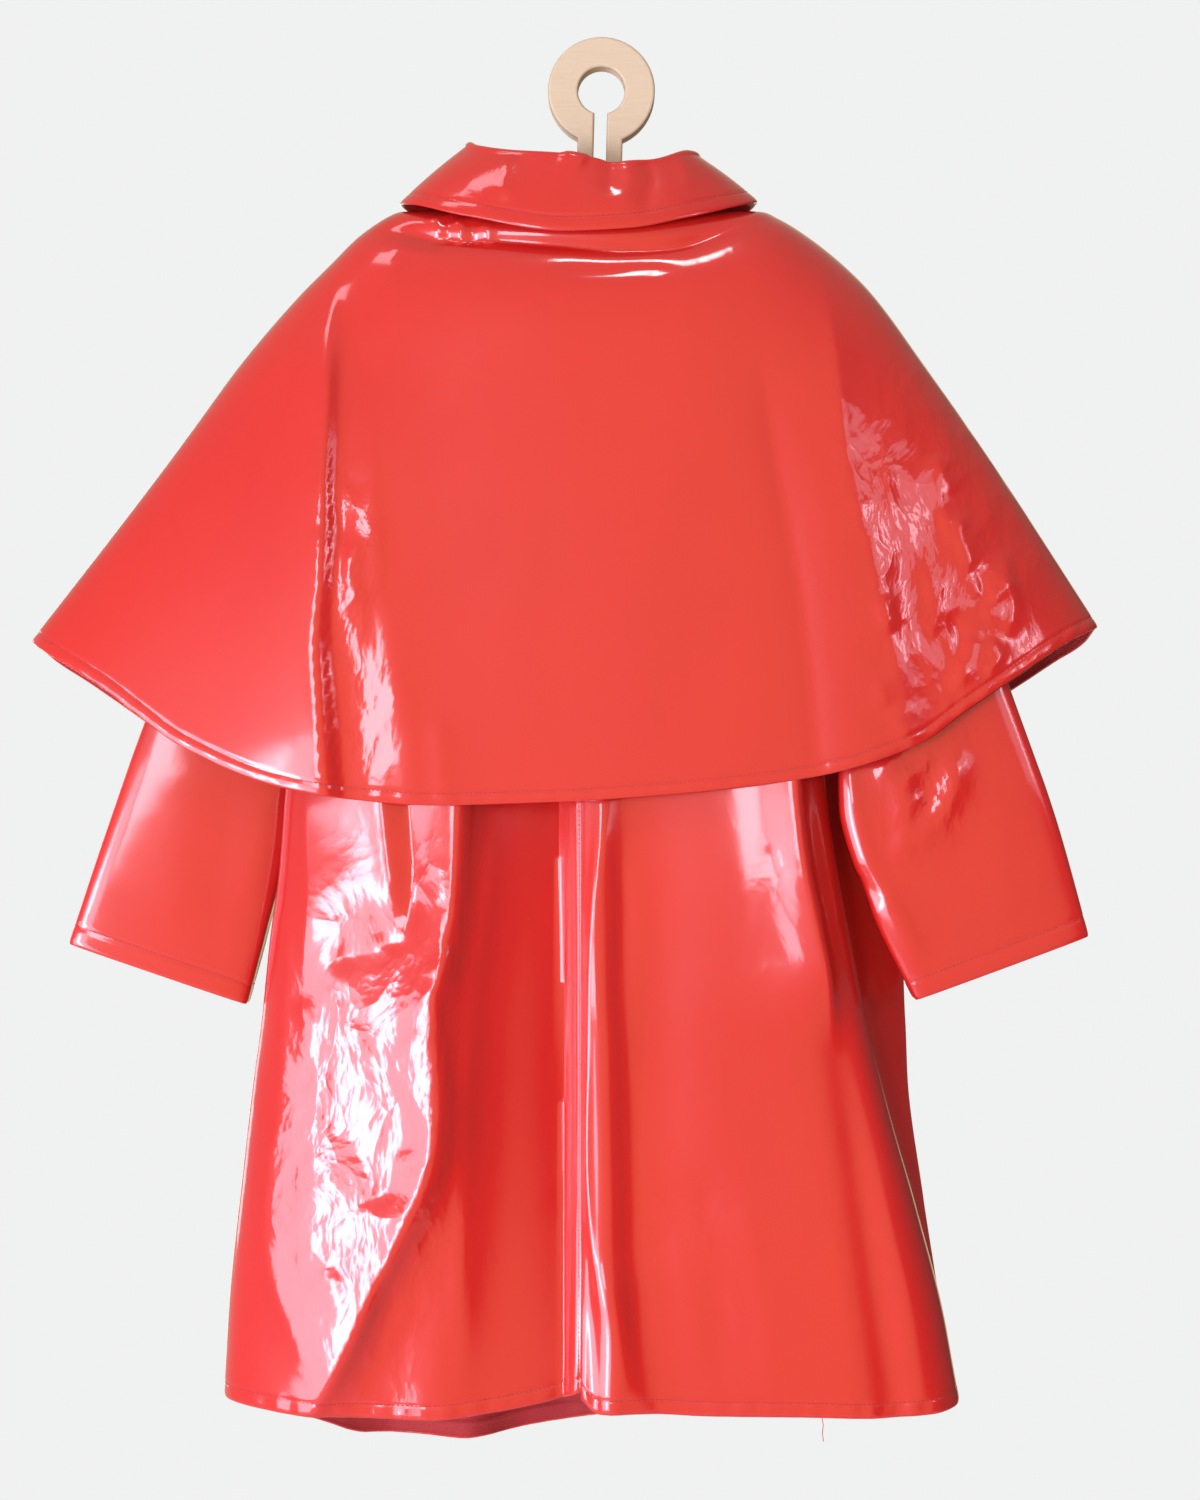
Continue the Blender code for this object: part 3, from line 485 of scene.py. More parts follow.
def by(rows, key, name):
    """The column `name` of a table as a smooth curve over its column `key`."""
    rows = sorted(rows, key=lambda row: getattr(row, key))
    return smooth_curve([getattr(r, key) for r in rows], [getattr(r, name) for r in rows])


def fold_height(folds, face, x, z, hem_z):
    """How far the folds of one face stand out from it."""
    total = np.zeros_like(x)
    for fold in folds:
        if fold.face != face:
            continue
        share = np.maximum(0, (fold.start - z) / (fold.start - hem_z))
        off = (x - mix(fold.top_x, fold.hem_x, share)) / fold.width
        total += fold.height * ease(0, 1, FOLD_GROWTH * share) * np.exp(-off * off)
    return total


def neck_height(turn, side_z):
    """Height of the neck edge at an angle from the centre back."""
    share = (1 - np.cos(2 * turn)) / 2
    return mix(np.where(np.cos(turn) > 0, NECK_BACK_Z, NECK_FRONT_Z), side_z, share)


def body_form(side, face):
    """The form of one panel: u runs from the centre line (0) to the side (1), and v from the
    hem (0) past the underarm up to the shoulder (1)."""
    name = SIDES[side]
    seam_x, seam_y = by(BODY_RINGS, "z", name), by(BODY_RINGS, "z", name + "_y")
    flare = by(BODY_RINGS, "z", "flare")
    depths = [Depth(ring.z, ring.back, ring.front) for ring in BODY_RINGS] + CHEST
    depth = by(depths, "z", "back" if face < 0 else "front")
    hem, shoulder = by(HEMS[side, face], "x", "z"), by(SHOULDERS[side], "x", "z")
    corner, under, tip = BODY_RINGS[0], BODY_RINGS[-1], SHOULDERS[side][-1]
    under_x, neck_side_z = getattr(under, name), SHOULDERS[side][0].z
    neck_z = NECK_BACK_Z if face < 0 else NECK_FRONT_Z
    neck_share = NECK_HALF_WIDTH / abs(tip.x - NECK_X)
    hem_centre = float(hem(NECK_X))

    def side_line(v):
        low, up = np.clip(v / UNDERARM, 0, 1), np.clip((v - UNDERARM) / (1 - UNDERARM), 0, 1)
        z = mix(corner.z, under.z, low)
        angle = math.pi * (1 - up)
        share = (1 + np.cos(angle)) / 2
        below = v <= UNDERARM
        return (np.where(below, seam_x(z), mix(under_x, tip.x, share)),
                np.where(below, seam_y(z), face * ARMHOLE_DEPTH * np.sin(angle)),
                np.where(below, z, mix(under.z, tip.z, share)))

    def centre_line(v):
        low, up = np.clip(v / UNDERARM, 0, 1), np.clip((v - UNDERARM) / (1 - UNDERARM), 0, 1)
        z = np.where(v <= UNDERARM, mix(hem_centre, CHEST_Z, low), mix(CHEST_Z, neck_z, up))
        return face * depth(z), z

    def top_line(s):
        x = mix(NECK_X, tip.x, s)
        off = np.minimum(1, np.abs(x - NECK_X) / NECK_HALF_WIDTH)
        turn = np.arcsin(off) if face < 0 else math.pi - np.arcsin(off)
        inside = off < 1
        return (np.where(inside, face * NECK_HALF_DEPTH * np.sqrt(1 - off * off), 0),
                np.where(inside, neck_height(turn, neck_side_z), shoulder(x)))

    def form(u, v):
        wrap = u * math.pi / 2
        open_share = ease(UNDERARM, UNDERARM + OPENING_OUT, v)
        rest = (np.abs(u) - NECK_U) / (1 - NECK_U)
        spread = np.where(np.abs(u) < NECK_U, neck_share * np.sin(u / NECK_U * math.pi / 2),
                          np.copysign(mix(neck_share, 1, rest), u))
        edge_x, edge_y, edge_z = side_line(v)
        s = mix(np.sin(wrap), spread, open_share)
        s = np.where(u < 0, u / LAP_U * LAP / np.abs(edge_x - NECK_X), s)
        flat = RIGHT_FLATNESS if side > face else 1
        round_bulge = np.cos(wrap) ** flat * (1 + FULLNESS * np.sin(wrap) ** 2)
        bulge = mix(round_bulge, 1 - s * s, open_share)
        centre_y, centre_z = centre_line(v)
        across = np.abs(s)
        x, z = mix(NECK_X, edge_x, s), mix(centre_z, edge_z, across)
        z = z + (1 - v) ** HEM_POWER * (hem(x) - mix(hem_centre, corner.z, across))
        top_y, top_z = top_line(np.minimum(1, across))
        z = z + v**SHOULDER_POWER * (top_z - mix(neck_z, tip.z, np.minimum(1, across)))
        y = mix(edge_y, centre_y, bulge)
        y = y + face * fold_height(BODY_FOLDS, face, x, z, hem_centre) * (1 - s**EDGE_POWER)
        if face > 0 and side > 0:
            swing = np.clip((1 - np.abs(u)) / SWING_U, 0, 1)
            x = x + flare(z) * np.sin(math.pi * swing) ** 2
        if face > 0 and side < 0:
            y = y - LAP_STEP * ease(LAP + LAP_EASE, LAP, side * (x - NECK_X))
        # The cloth rolls over into the shoulder seam, and ends upright at the neck
        lift = np.clip((v - SHOULDER_START) / (1 - SHOULDER_START), 0, 1)
        roll = mix(1, 0.5, ease(NECK_ROLL_FROM, 1, across / neck_share))
        rolled = mix(top_y, y, np.maximum(0, 1 - lift * lift) ** roll)
        return np.stack([x, np.where(v > SHOULDER_START, rolled, y), z], axis=-1)

    return form


def spaced(*stops):
    """Places from the first stop to the last. Each stop after the first is a place and the
    number of steps that lead up to it."""
    places = [np.array([stops[0]])]
    for end, count in stops[1:]:
        places.append(np.linspace(places[-1][-1], end, count + 1)[1:])
    return np.concatenate(places)


def unit(vectors):
    """Vectors brought to length 1."""
    return vectors / np.maximum(np.linalg.norm(vectors, axis=-1, keepdims=True), 1e-9)


def outward(points, sign, closed=False):
    """The directions out of the cloth at the points of a grid."""
    along_u = np.roll(points, -1, 1) - np.roll(points, 1, 1) if closed else \
        np.gradient(points, axis=1)
    return unit(np.cross(along_u, np.gradient(points, axis=0)) * sign)


def run_from(points, edge):
    """How far each point lies from an edge of the grid, measured along the cloth. Edges are l
    and r for the first and last column, b and t for the first and last row."""
    axis = 1 if edge in "lr" else 0
    flipped = np.flip(points, axis) if edge in "rt" else points
    steps = np.linalg.norm(np.diff(flipped, axis=axis), axis=2)
    run = np.concatenate([np.zeros_like(np.take(steps, [0], axis)), np.cumsum(steps, axis)], axis)
    return np.flip(run, axis) if edge in "rt" else run


Crease = namedtuple("Crease", "left right rise path")
CREASE_EDGE = 1.6
CREASE_STEPS = 5
CREASE_REACH = 5


def crease_height(creases, x, z):
    """Height of the creases at each point. One runs down its path as a crisp ridge, or goes in
    where its rise is under 0. It falls away over its widths to the left and the right, and
    dies out towards both ends."""
    total = np.zeros_like(x)
    for crease in creases:
        path = np.array(rounded_path(crease.path, CREASE_STEPS))
        reach = CREASE_REACH * max(crease.left, crease.right)
        near = ((x > path[:, 0].min() - reach) & (x < path[:, 0].max() + reach)
                & (z > path[:, 1].min() - reach) & (z < path[:, 1].max() + reach))
        if not near.any():
            continue
        px, pz = x[near], z[near]
        best, share, leftward = np.full(px.shape, 1e9), np.zeros(px.shape), np.zeros(px.shape)
        for i, (a, b) in enumerate(zip(path[:-1], path[1:])):
            run = b - a
            t = np.clip(((px - a[0]) * run[0] + (pz - a[1]) * run[1]) / (run @ run), 0, 1)
            off = np.hypot(px - a[0] - t * run[0], pz - a[1] - t * run[1])
            closer = off < best
            best = np.where(closer, off, best)
            share = np.where(closer, (i + t) / (len(path) - 1), share)
            turn = (px - a[0]) * run[1] - (pz - a[1]) * run[0]
            leftward = np.where(closer, turn > 0, leftward)
        width = np.where(leftward > 0, crease.left, crease.right)
        fade = ease(0, 0.5, 1 - np.abs(2 * share - 1))
        off = (np.sqrt(best * best + CREASE_EDGE**2) - CREASE_EDGE) / width
        total[near] += crease.rise * fade * np.exp(-off)
    return total


Patch = namedtuple("Patch", "x z half_width half_height strength")


def patch_strength(patches, x, z, base):
    """How creased the coating is: a base, and more within soft-edged patches."""
    total = np.full_like(x, base)
    for p in patches:
        off = ((x - p.x) / p.half_width) ** 2 + ((z - p.z) / p.half_height) ** 2
        total += p.strength * np.exp(-off * off)
    return np.clip(total, 0, 1)


CLOTH = 0.7
TURNED_UP = 1.5
RIM_STEPS = 4
SHARP_ANGLE = math.radians(60)


def cloth_object(name, middle, sign, creased, turned=(), closed=False, lined=True):
    """A cloth piece: a thin wall on a grid of middle points, glossy outside and woven inside.
    turned lists edges and widths over which the cloth is turned up and so twice as thick, and
    a piece that isn't lined with the cloth's own back is glossy on both sides."""
    normals = outward(middle, sign, closed)
    wall = np.full(middle.shape[:2], CLOTH)
    for edge, width in turned:
        run = run_from(middle, edge)
        wall = np.maximum(wall, mix(CLOTH, TURNED_UP, ease(width + 1, width - 1, run)))
    # The outside stays where it is and the turned-up layer lies within
    skin = middle + normals * CLOTH / 2
    lining = skin - normals * wall[..., None]
    rows, cols = middle.shape[:2]
    index = np.arange(rows * cols).reshape(rows, cols)
    if closed:
        index = np.concatenate([index, index[:, :1]], axis=1)
    a, b, c, d = index[:-1, :-1], index[:-1, 1:], index[1:, 1:], index[1:, :-1]
    out = np.stack([a, b, c, d], -1).reshape(-1, 4)
    depth = rows * cols
    skin, lining = skin.reshape(-1, 3), lining.reshape(-1, 3)
    # Each edge of the wall is rounded over: every rim is a run of points around the grid
    rims, points = [], [skin, lining]
    runs = [(index[0][::-1], index[1][::-1]), (index[-1], index[-2])]
    if not closed:
        runs = [(np.concatenate([index[-1], index[-2:0:-1, -1], index[0][::-1], index[1:, 0]]),
                 np.concatenate([index[-2], index[-2:0:-1, -2], index[1][::-1], index[1:-1, 1],
                                 index[-2, :1]]))]
    for run, behind in runs:
        out_from = unit(skin[run] - skin[behind])
        centre, arm = (skin[run] + lining[run]) / 2, (skin[run] - lining[run]) / 2
        radius = np.linalg.norm(arm, axis=1, keepdims=True)
        before = run
        for step in range(1, RIM_STEPS + 1):
            angle = math.pi * step / RIM_STEPS
            if step < RIM_STEPS:
                row = centre + arm * math.cos(angle) + out_from * radius * math.sin(angle)
                after = np.arange(len(run)) + sum(len(block) for block in points)
                if closed or (run[0] == run[-1]):
                    after[-1], row = after[0], row[:-1]
                points.append(row)
            else:
                after = run + depth
            rims.append(np.stack([before[:-1], before[1:], after[1:], after[:-1]], -1))
            before = after
    faces = np.concatenate([out, out[:, ::-1] + depth, *rims])
    if sign < 0:
        faces = faces[:, ::-1]
    points = np.concatenate(points) * MM
    mesh = bpy.data.meshes.new(f"{name}_cloth")
    mesh.from_pydata(points.tolist(), [], faces.tolist())
    mesh.materials.append(OUTSIDE)
    mesh.materials.append(INSIDE)
    inside = np.zeros(len(faces), np.int32)
    inside[len(out):2 * len(out)] = int(lined)
    mesh.polygons.foreach_set("material_index", inside)
    values = np.zeros(len(points), np.float32)
    values[:2 * depth] = np.tile(creased.reshape(-1), 2)
    mesh.attributes.new("creased", "FLOAT", "POINT").data.foreach_set("value", values)
    mesh.shade_smooth()
    mesh.set_sharp_from_angle(angle=SHARP_ANGLE)
    piece = linked(f"{name}_cloth", mesh)
    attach(piece, "root")
    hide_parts(name)
    return piece


def row_at(place, run, rows):
    """The row of three numbers at a place along a run, between those that the run has."""
    return np.array([np.interp(place, run, rows[:, k]) for k in range(3)])


def line_along(points, sign, edge, distance, closed=False):
    """The line that runs at a distance from an edge of a grid, on the outside of the cloth,
    with the outward directions there."""
    normals = outward(points, sign, closed)
    run = run_from(points, edge)
    if edge in "lr":
        points, normals, run = points.transpose(1, 0, 2), normals.transpose(1, 0, 2), run.T
    if edge in "rt":
        points, normals, run = points[::-1], normals[::-1], run[::-1]
    line, out = (np.array([row_at(distance, run[:, i], rows[:, i]) for i in range(run.shape[1])])
                 for rows in (points, normals))
    if closed:
        line, out = np.vstack([line, line[:1]]), np.vstack([out, out[:1]])
    return line + out * CLOTH / 2, out


STITCH_PITCH = 2.7
STITCH_LENGTH = 2.1
THREAD_RADIUS = 0.24
STITCH_SIDES = 6

# A stitch's rings: their places along it, their sizes and how high they lie
Bead = namedtuple("Bead", "along size lift")
STITCH_RINGS = [Bead(-0.5, 0.35, -0.16), Bead(-0.3, 1, 0.08), Bead(0.3, 1, 0.08),
                Bead(0.5, 0.35, -0.16)]


def stitching(name, lines, pitch=STITCH_PITCH, length=STITCH_LENGTH, across_line=False):
    """Rows of machine stitches as one object: each is a short bead that dips in at both ends
    and lies along its line, or across it."""
    turn = np.arange(STITCH_SIDES) * 2 * math.pi / STITCH_SIDES
    bead = np.array([(ring.along * length, ring.size * THREAD_RADIUS * math.cos(a),
                      ring.lift + ring.size * THREAD_RADIUS * math.sin(a))
                     for ring in STITCH_RINGS for a in turn])
    loop = np.arange(STITCH_SIDES)
    after = (loop + 1) % STITCH_SIDES
    last = (len(STITCH_RINGS) - 1) * STITCH_SIDES
    quads = np.concatenate([np.stack([loop, after, after + STITCH_SIDES, loop + STITCH_SIDES], -1)
                            + first for first in range(0, last, STITCH_SIDES)])
    points, faces, caps = [], [], []
    for line, out in lines:
        run = np.concatenate([[0], np.cumsum(np.linalg.norm(np.diff(line, axis=0), axis=1))])
        for place in np.arange(pitch, run[-1] - pitch / 2, pitch):
            here = row_at(place, run, line)
            along = unit(row_at(place + 0.5, run, line) - here)
            across = unit(np.cross(row_at(place, run, out), along))
            if across_line:
                along, across = across, -along
            start = len(points) * len(bead)
            points.append(here + bead @ np.stack([along, across, np.cross(along, across)]))
            faces.append(quads + start)
            caps += [tuple(start + loop[::-1]), tuple(start + last + loop)]
    mesh = bpy.data.meshes.new(name)
    mesh.from_pydata((np.concatenate(points) * MM).tolist(), [],
                     np.concatenate(faces).tolist() + caps)
    mesh.materials.append(SEWN)
    mesh.shade_smooth()
    rows = linked(name, mesh)
    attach(rows, "root")
    return rows


def sewn_cloth(name, middle, sign, height, creased, turned, rows, closed=False, lined=True):
    """One cloth piece, raised off its middle points by a height, and its topstitching. rows
    lists the edges with stitches and how far in they run. Gives the raised points, the piece
    and its stitches."""
    points = middle + outward(middle, sign, closed) * height[..., None]
    piece = cloth_object(name, points, sign, creased, turned, closed, lined)
    lines = [line_along(points, sign, edge, distance, closed) for edge, distance in rows]
    return points, piece, stitching(f"{name}_stitching", lines)


# Widths and depths of the grooves that stitches pull in, and of those along edges and seams
STITCH_GROOVE = (1.2, 0.35)
FINE_STITCH_GROOVE = (1.1, 0.35)
SEAM_STITCH_GROOVE = (0.8, 0.25)
HEM_GROOVE = (1.2, 0.5)
EDGE_GROOVE = (1.2, 0.4)
CENTRE_GROOVE = (1.8, 0.9)
SIDE_GROOVE = (1.8, 0.8)

HEM_STITCH = 8
HEM_WIDTH = 10
PUCKER = 13
PUCKER_RISE = 0.3
PUCKER_DRIFT = 1.7
PUCKER_WANDER = 23
FINE_PUCKER = 3.1
SEAM_STITCH = 2
ALLOWANCE = 9
ALLOWANCE_RISE = 0.5
SMOOTH_PANEL = 0.05
BODY_US = (0.0, (0.035, 12), (0.94, 66), (1.0, 12))
BODY_VS = (0.0, (0.0175, 14), (UNDERARM, 140), (SHOULDER_START, 46), (1.0, 10))

# Creases down the panels, each with its widths to the left and right and its rise
BACK_CREASES = {-1: [
    Crease(40, 7, -17, [(-30, -150), (-27, -330), (-25, -440), (-23, -600), (-23, -1050)]),
    Crease(54, 9, 14, [(-72, -80), (-72, -150), (-73, -220), (-74, -310), (-77, -379),
           (-82, -438), (-85, -490), (-92, -537), (-97, -560), (-95, -607), (-97, -648),
           (-112, -686), (-131, -724), (-152, -768), (-173, -806), (-200, -860), (-220, -920)]),
    Crease(10, 24, 2, [(-176, -397), (-181, -473), (-185, -541), (-188, -613), (-197, -689),
           (-186, -733), (-173, -761), (-159, -800)]),
    Crease(60, 50, 3, [(-200, -424), (-150, -428), (-110, -428), (-50, -424)]),
    Crease(8, 14, 2.4, [(-173, -402), (-172, -455), (-170, -496), (-174, -546)]),
    Crease(16, 7, 3.2, [(-130, -391), (-128, -438), (-124, -473), (-119, -511)]),
    Crease(8, 9, -3.5, [(-114, -391), (-112, -438), (-109, -484), (-114, -531)]),
    Crease(20, 3, -1.25, [(-160, -540), (-150, -528), (-135, -525), (-118, -521), (-108, -540)]),
    Crease(4, 5, 0.65, [(-104, -540), (-95, -536), (-84, -535)]),
    Crease(4, 4, -0.7, [(-91, -493), (-87, -511), (-90, -530)]),
    Crease(3, 5, 0.75, [(-83, -499), (-88, -522), (-97, -546), (-102, -575)]),
    Crease(5, 4, 0.6, [(-119, -591), (-111, -581), (-101, -571)]),
    Crease(5, 6, -0.75, [(-115, -604), (-117, -625), (-111, -648)]),
    Crease(9, 4, -0.75, [(-167, -680), (-150, -676), (-135, -671), (-111, -658)]),
    Crease(4, 8, 0.65, [(-164, -689), (-145, -678), (-112, -686)]),
    Crease(6, 6, 0.7, [(-178, -555), (-170, -572), (-177, -598)]),
    Crease(7, 5, 0.7, [(-146, -566), (-137, -598), (-135, -631)]),
    Crease(5, 7, -0.65, [(-159, -584), (-156, -610), (-161, -642)]),
    Crease(6, 8, 0.8, [(-162, -710), (-153, -730), (-160, -759)]),
    Crease(8, 5, -0.75, [(-185, -692), (-177, -715), (-166, -742)]),
    Crease(6, 6, 0.6, [(-116, -692), (-117, -730), (-125, -759)]),
    Crease(9, 12, 3, [(-61, -414), (-67, -496), (-77, -578), (-80, -660), (-82, -724),
           (-78, -800)]),
    Crease(5, 5, -0.6, [(-26, -771), (-23, -784), (-25, -800)]),
    Crease(4, 4, 0.7, [(-18, -765), (-16, -782), (-18, -800)]),
    Crease(4, 4, -0.55, [(-22, -660), (-19, -672), (-23, -686)]),
], 1: [
    Crease(4, 9, 3.4, [(2, -379), (1, -440), (-3, -484), (-6, -531), (-7, -590), (-8, -642),
           (-6, -683), (-1, -724), (6, -759)]),
    Crease(9, 14, 4, [(-1, -701), (8, -742), (16, -777), (29, -818)]),
    Crease(24, 6, 13, [(106, -330), (109, -379), (112, -438), (117, -478), (124, -514),
           (131, -549), (137, -590)]),
    Crease(6, 8, -0.9, [(6, -455), (12, -496), (8, -543), (13, -590)]),
    Crease(8, 8, 0.8, [(16, -461), (22, -514), (18, -566), (22, -625)]),
    Crease(24, 20, -1.2, [(57, -631), (64, -689), (70, -748), (67, -806)]),
    Crease(22, 26, 1.2, [(82, -660), (92, -724), (104, -806)]),
    Crease(14, 12, 0.7, [(43, -683), (51, -730), (60, -777)]),
    Crease(20, 14, 0.8, [(158, -642), (168, -683), (181, -730), (192, -777)]),
    Crease(4, 5, -0.4, [(97, -461), (102, -478), (108, -487)]),
]}
BACK_PATCHES = {
    -1: [Patch(-140, -640, 60, 150, 0.9), Patch(-100, -540, 26, 70, 0.6)],
    1: [Patch(115, -500, 26, 60, 0.25), Patch(72, -700, 60, 60, 0.2)],
}
THREAD_END = [(128, -44, -794), (128.6, -45, -799), (129.4, -45.5, -803), (128.9, -45, -808),
              (129.6, -44, -813)]


def groove(run, place, width, depth):
    """A narrow groove at a place along a run."""
    return -depth * np.exp(-((run - place) / width) ** 2)


def puckers(run, x, width, depth):
    """Little puckers between an edge's topstitching and the edge."""
    beat = np.sin(x * 2 * math.pi / PUCKER + PUCKER_DRIFT * np.sin(x / PUCKER_WANDER))
    beat = beat + 0.5 * np.sin(x / FINE_PUCKER)
    return depth * beat * np.exp(-((run - width / 2) / (0.6 * width)) ** 2)


def back_panel(side):
    points = body_form(side, -1)(*np.meshgrid(spaced(*BODY_US), spaced(*BODY_VS)))
    x, z = points[..., 0], points[..., 2]
    hem, seam, edge = (run_from(points, place) for place in "blr")
    height = crease_height(BACK_CREASES[side], x, z)
    height += groove(hem, HEM_STITCH, *STITCH_GROOVE) + groove(hem, 0, *HEM_GROOVE)
    height += puckers(hem, x, HEM_STITCH, PUCKER_RISE)
    height += groove(seam, 0, *CENTRE_GROOVE) + groove(edge, 0, *SIDE_GROOVE)
    rows = [("b", HEM_STITCH)]
    if side < 0:
        height += ALLOWANCE_RISE * ease(ALLOWANCE + 1, ALLOWANCE - 1, seam)
        height += groove(seam, SEAM_STITCH, *SEAM_STITCH_GROOVE)
        rows.append(("l", SEAM_STITCH))
    creased = patch_strength(BACK_PATCHES[side], x, z, SMOOTH_PANEL)
    _, piece, sewn = sewn_cloth(f"back_{SIDES[side]}", points, side, height, creased,
                                [("b", HEM_WIDTH)], rows)


def loose_thread():
    """The end of the hem's sewing thread, which hangs from the right back."""
    curve = bpy.data.curves.new("loose_thread", "CURVE")
    curve.dimensions, curve.bevel_depth, curve.bevel_resolution = "3D", THREAD_RADIUS * MM, 1
    add_spline(curve, THREAD_END)
    made = applied(linked("loose_thread", curve))
    made.data.materials.append(SEWN)
    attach(made, "root")


back_panel(-1)
back_panel(1)
loose_thread()


# Fronts. The right front laps over the left and both edges are faced and topstitched. Their
# hems hang a little lower than the back's.

FRONT_US = (-LAP_U, (0.02, 22), (0.94, 62), (1.0, 10))
EDGE_STITCH = 6
FACING = 30
FRONT_CREASES = {
    -1: [Crease(12, 16, 3, [(-150, -470), (-138, -560), (-146, -660)]),
         Crease(14, 9, 3, [(-60, -480), (-66, -610), (-58, -740)]),
         Crease(9, 12, -2.5, [(-178, -600), (-186, -690), (-180, -770)])],
    1: [Crease(16, 11, 3, [(96, -470), (110, -560), (104, -650)]),
        Crease(10, 14, -2.5, [(40, -520), (50, -640), (46, -740)]),
        Crease(8, 12, 2, [(150, -600), (168, -690), (174, -770)])],
}
FRONT_PATCHES = {-1: [Patch(-120, -620, 50, 120, 0.5)], 1: [Patch(110, -560, 45, 110, 0.45)]}


def front_panel(side):
    points = body_form(side, 1)(*np.meshgrid(spaced(*FRONT_US), spaced(*BODY_VS)))
    x, z = points[..., 0], points[..., 2]
    hem, edge, seam = (run_from(points, place) for place in "blr")
    height = crease_height(FRONT_CREASES[side], x, z)
    height += groove(hem, HEM_STITCH, *STITCH_GROOVE) + groove(hem, 0, *HEM_GROOVE)
    height += puckers(hem, x, HEM_STITCH, PUCKER_RISE)
    height += groove(edge, EDGE_STITCH, *STITCH_GROOVE) + groove(edge, 0, *EDGE_GROOVE)
    height += groove(seam, 0, *SIDE_GROOVE)
    creased = patch_strength(FRONT_PATCHES[side], x, z, SMOOTH_PANEL)
    points, piece, sewn = sewn_cloth(f"front_{SIDES[side]}", points, -side, height, creased,
                                     [("b", HEM_WIDTH), ("l", FACING)],
                                     [("b", HEM_STITCH), ("l", EDGE_STITCH)])
    return points


front_panel(-1)
front_right = front_panel(1)


# Sleeves. Each is one plain tube with a seam along its inner edge, set flat into the armhole,
# with its cuff turned up and topstitched.

SLEEVE_HEAD = 0.08
SEAM_GAP = 0.3
UNDERARM_DROP = 1.2
SLEEVE_US = 96
SLEEVE_VS = (0.0, (0.94, 112), (1.0, 26))
CUFF_STITCH = 11.4
CUFF_WIDTH = 14

Cuff = namedtuple("Cuff", "t outer_x outer_z outer_y inner_x inner_z inner_y depth")
SLEEVES = {
    -1: [
        Cuff(0.00, -180, -143, 0, -170, -312, 0, 25),
        Cuff(0.08, -187, -148, 0, -177, -314, 1, 25),
        Cuff(0.20, -196, -166, 2, -183, -322, 4, 24),
        Cuff(0.35, -208, -215, 5, -187, -345, 10, 22),
        Cuff(0.55, -239, -300, 7, -187, -395, 15, 19),
        Cuff(0.75, -269, -377, 9, -189, -455, 17, 16),
        Cuff(0.90, -297, -456, 9, -203, -520, 16, 14),
        Cuff(1.00, -320, -524, 9, -214, -561, 15, 13),
    ],
    1: [
        Cuff(0.00, 160, -140, 0, 128, -312, 0, 25),
        Cuff(0.08, 167, -145, 0, 135, -314, -2, 25),
        Cuff(0.20, 176, -162, -3, 140, -323, -7, 23),
        Cuff(0.35, 186, -205, -7, 142, -347, -13, 20),
        Cuff(0.55, 213, -288, -12, 140, -395, -19, 17),
        Cuff(0.75, 240, -368, -16, 141, -442, -22, 15),
        Cuff(0.90, 268, -448, -17, 160, -503, -20, 14),
        Cuff(1.00, 288, -518, -16, 185.5, -556, -16, 13),
    ],
}
SLEEVE_CREASES = {-1: [
    Crease(28, 30, 1.0, [(-238, -396), (-247, -438), (-253, -486), (-262, -522)]),
    Crease(20, 24, -0.8, [(-217, -414), (-226, -468), (-232, -516), (-238, -549)]),
    Crease(16, 12, 0.8, [(-204, -432), (-206, -468), (-217, -510)]),
], 1: [
    Crease(6, 4, 3.4, [(166, -409), (170, -423), (179, -438), (177, -467)]),
    Crease(7, 5, 3.8, [(202, -405), (207, -423), (205, -438), (193, -453), (179, -467)]),
    Crease(4, 5, -2.8, [(182, -420), (191, -429), (202, -428)]),
    Crease(4, 4, 2.6, [(175, -432), (184, -423), (193, -414)]),
    Crease(5, 4, -2.6, [(185, -441), (192, -447), (196, -460)]),
    Crease(5, 5, 2.3, [(172, -458), (178, -464), (176, -476)]),
    Crease(7, 7, 2.2, [(142, -400), (147, -430), (152, -456), (159, -478), (172, -503),
           (183, -526), (194, -556)]),
    Crease(26, 24, 0.8, [(226, -414), (235, -467), (241, -526)]),
    Crease(5, 5, -1.2, [(149, -478), (159, -491), (166, -497)]),
]}
SLEEVE_PATCHES = {-1: [], 1: [Patch(188, -428, 28, 46, 1.0)]}
FLATNESS = 0.22
FLAT_FROM = 0.5
EDGE_CROWDING = 0.85
UNDERARM_POWER = 4
UNDERARM_GROOVE = (2.2, 0.7)
FRONT_SHARE = 0.35


def sleeve_form(side):
    rows = SLEEVES[side]
    outer = [by(rows, "t", "outer_" + axis) for axis in "xyz"]
    inner = [by(rows, "t", "inner_" + axis) for axis in "xyz"]
    depth = by(rows, "t", "depth")

    def form(u, v):
        angle = 2 * math.pi * u - EDGE_CROWDING / 2 * np.sin(4 * math.pi * u)
        a = np.stack([c(v) for c in outer], axis=-1)
        b = np.stack([c(v) for c in inner], axis=-1)
        points = (a + b) / 2 + (a - b) / 2 * np.cos(angle)[..., None]
        flat = mix(1, FLATNESS, ease(0, FLAT_FROM, v))
        points[..., 1] += depth(v) * np.sign(np.sin(angle)) * np.abs(np.sin(angle)) ** flat
        below = np.maximum(0, -np.cos(angle)) ** UNDERARM_POWER
        head = np.clip(1 - v / SLEEVE_HEAD, 0, 1)
        points[..., 0] += side * (SEAM_GAP + below * UNDERARM_DROP) * head
        return points

    return form


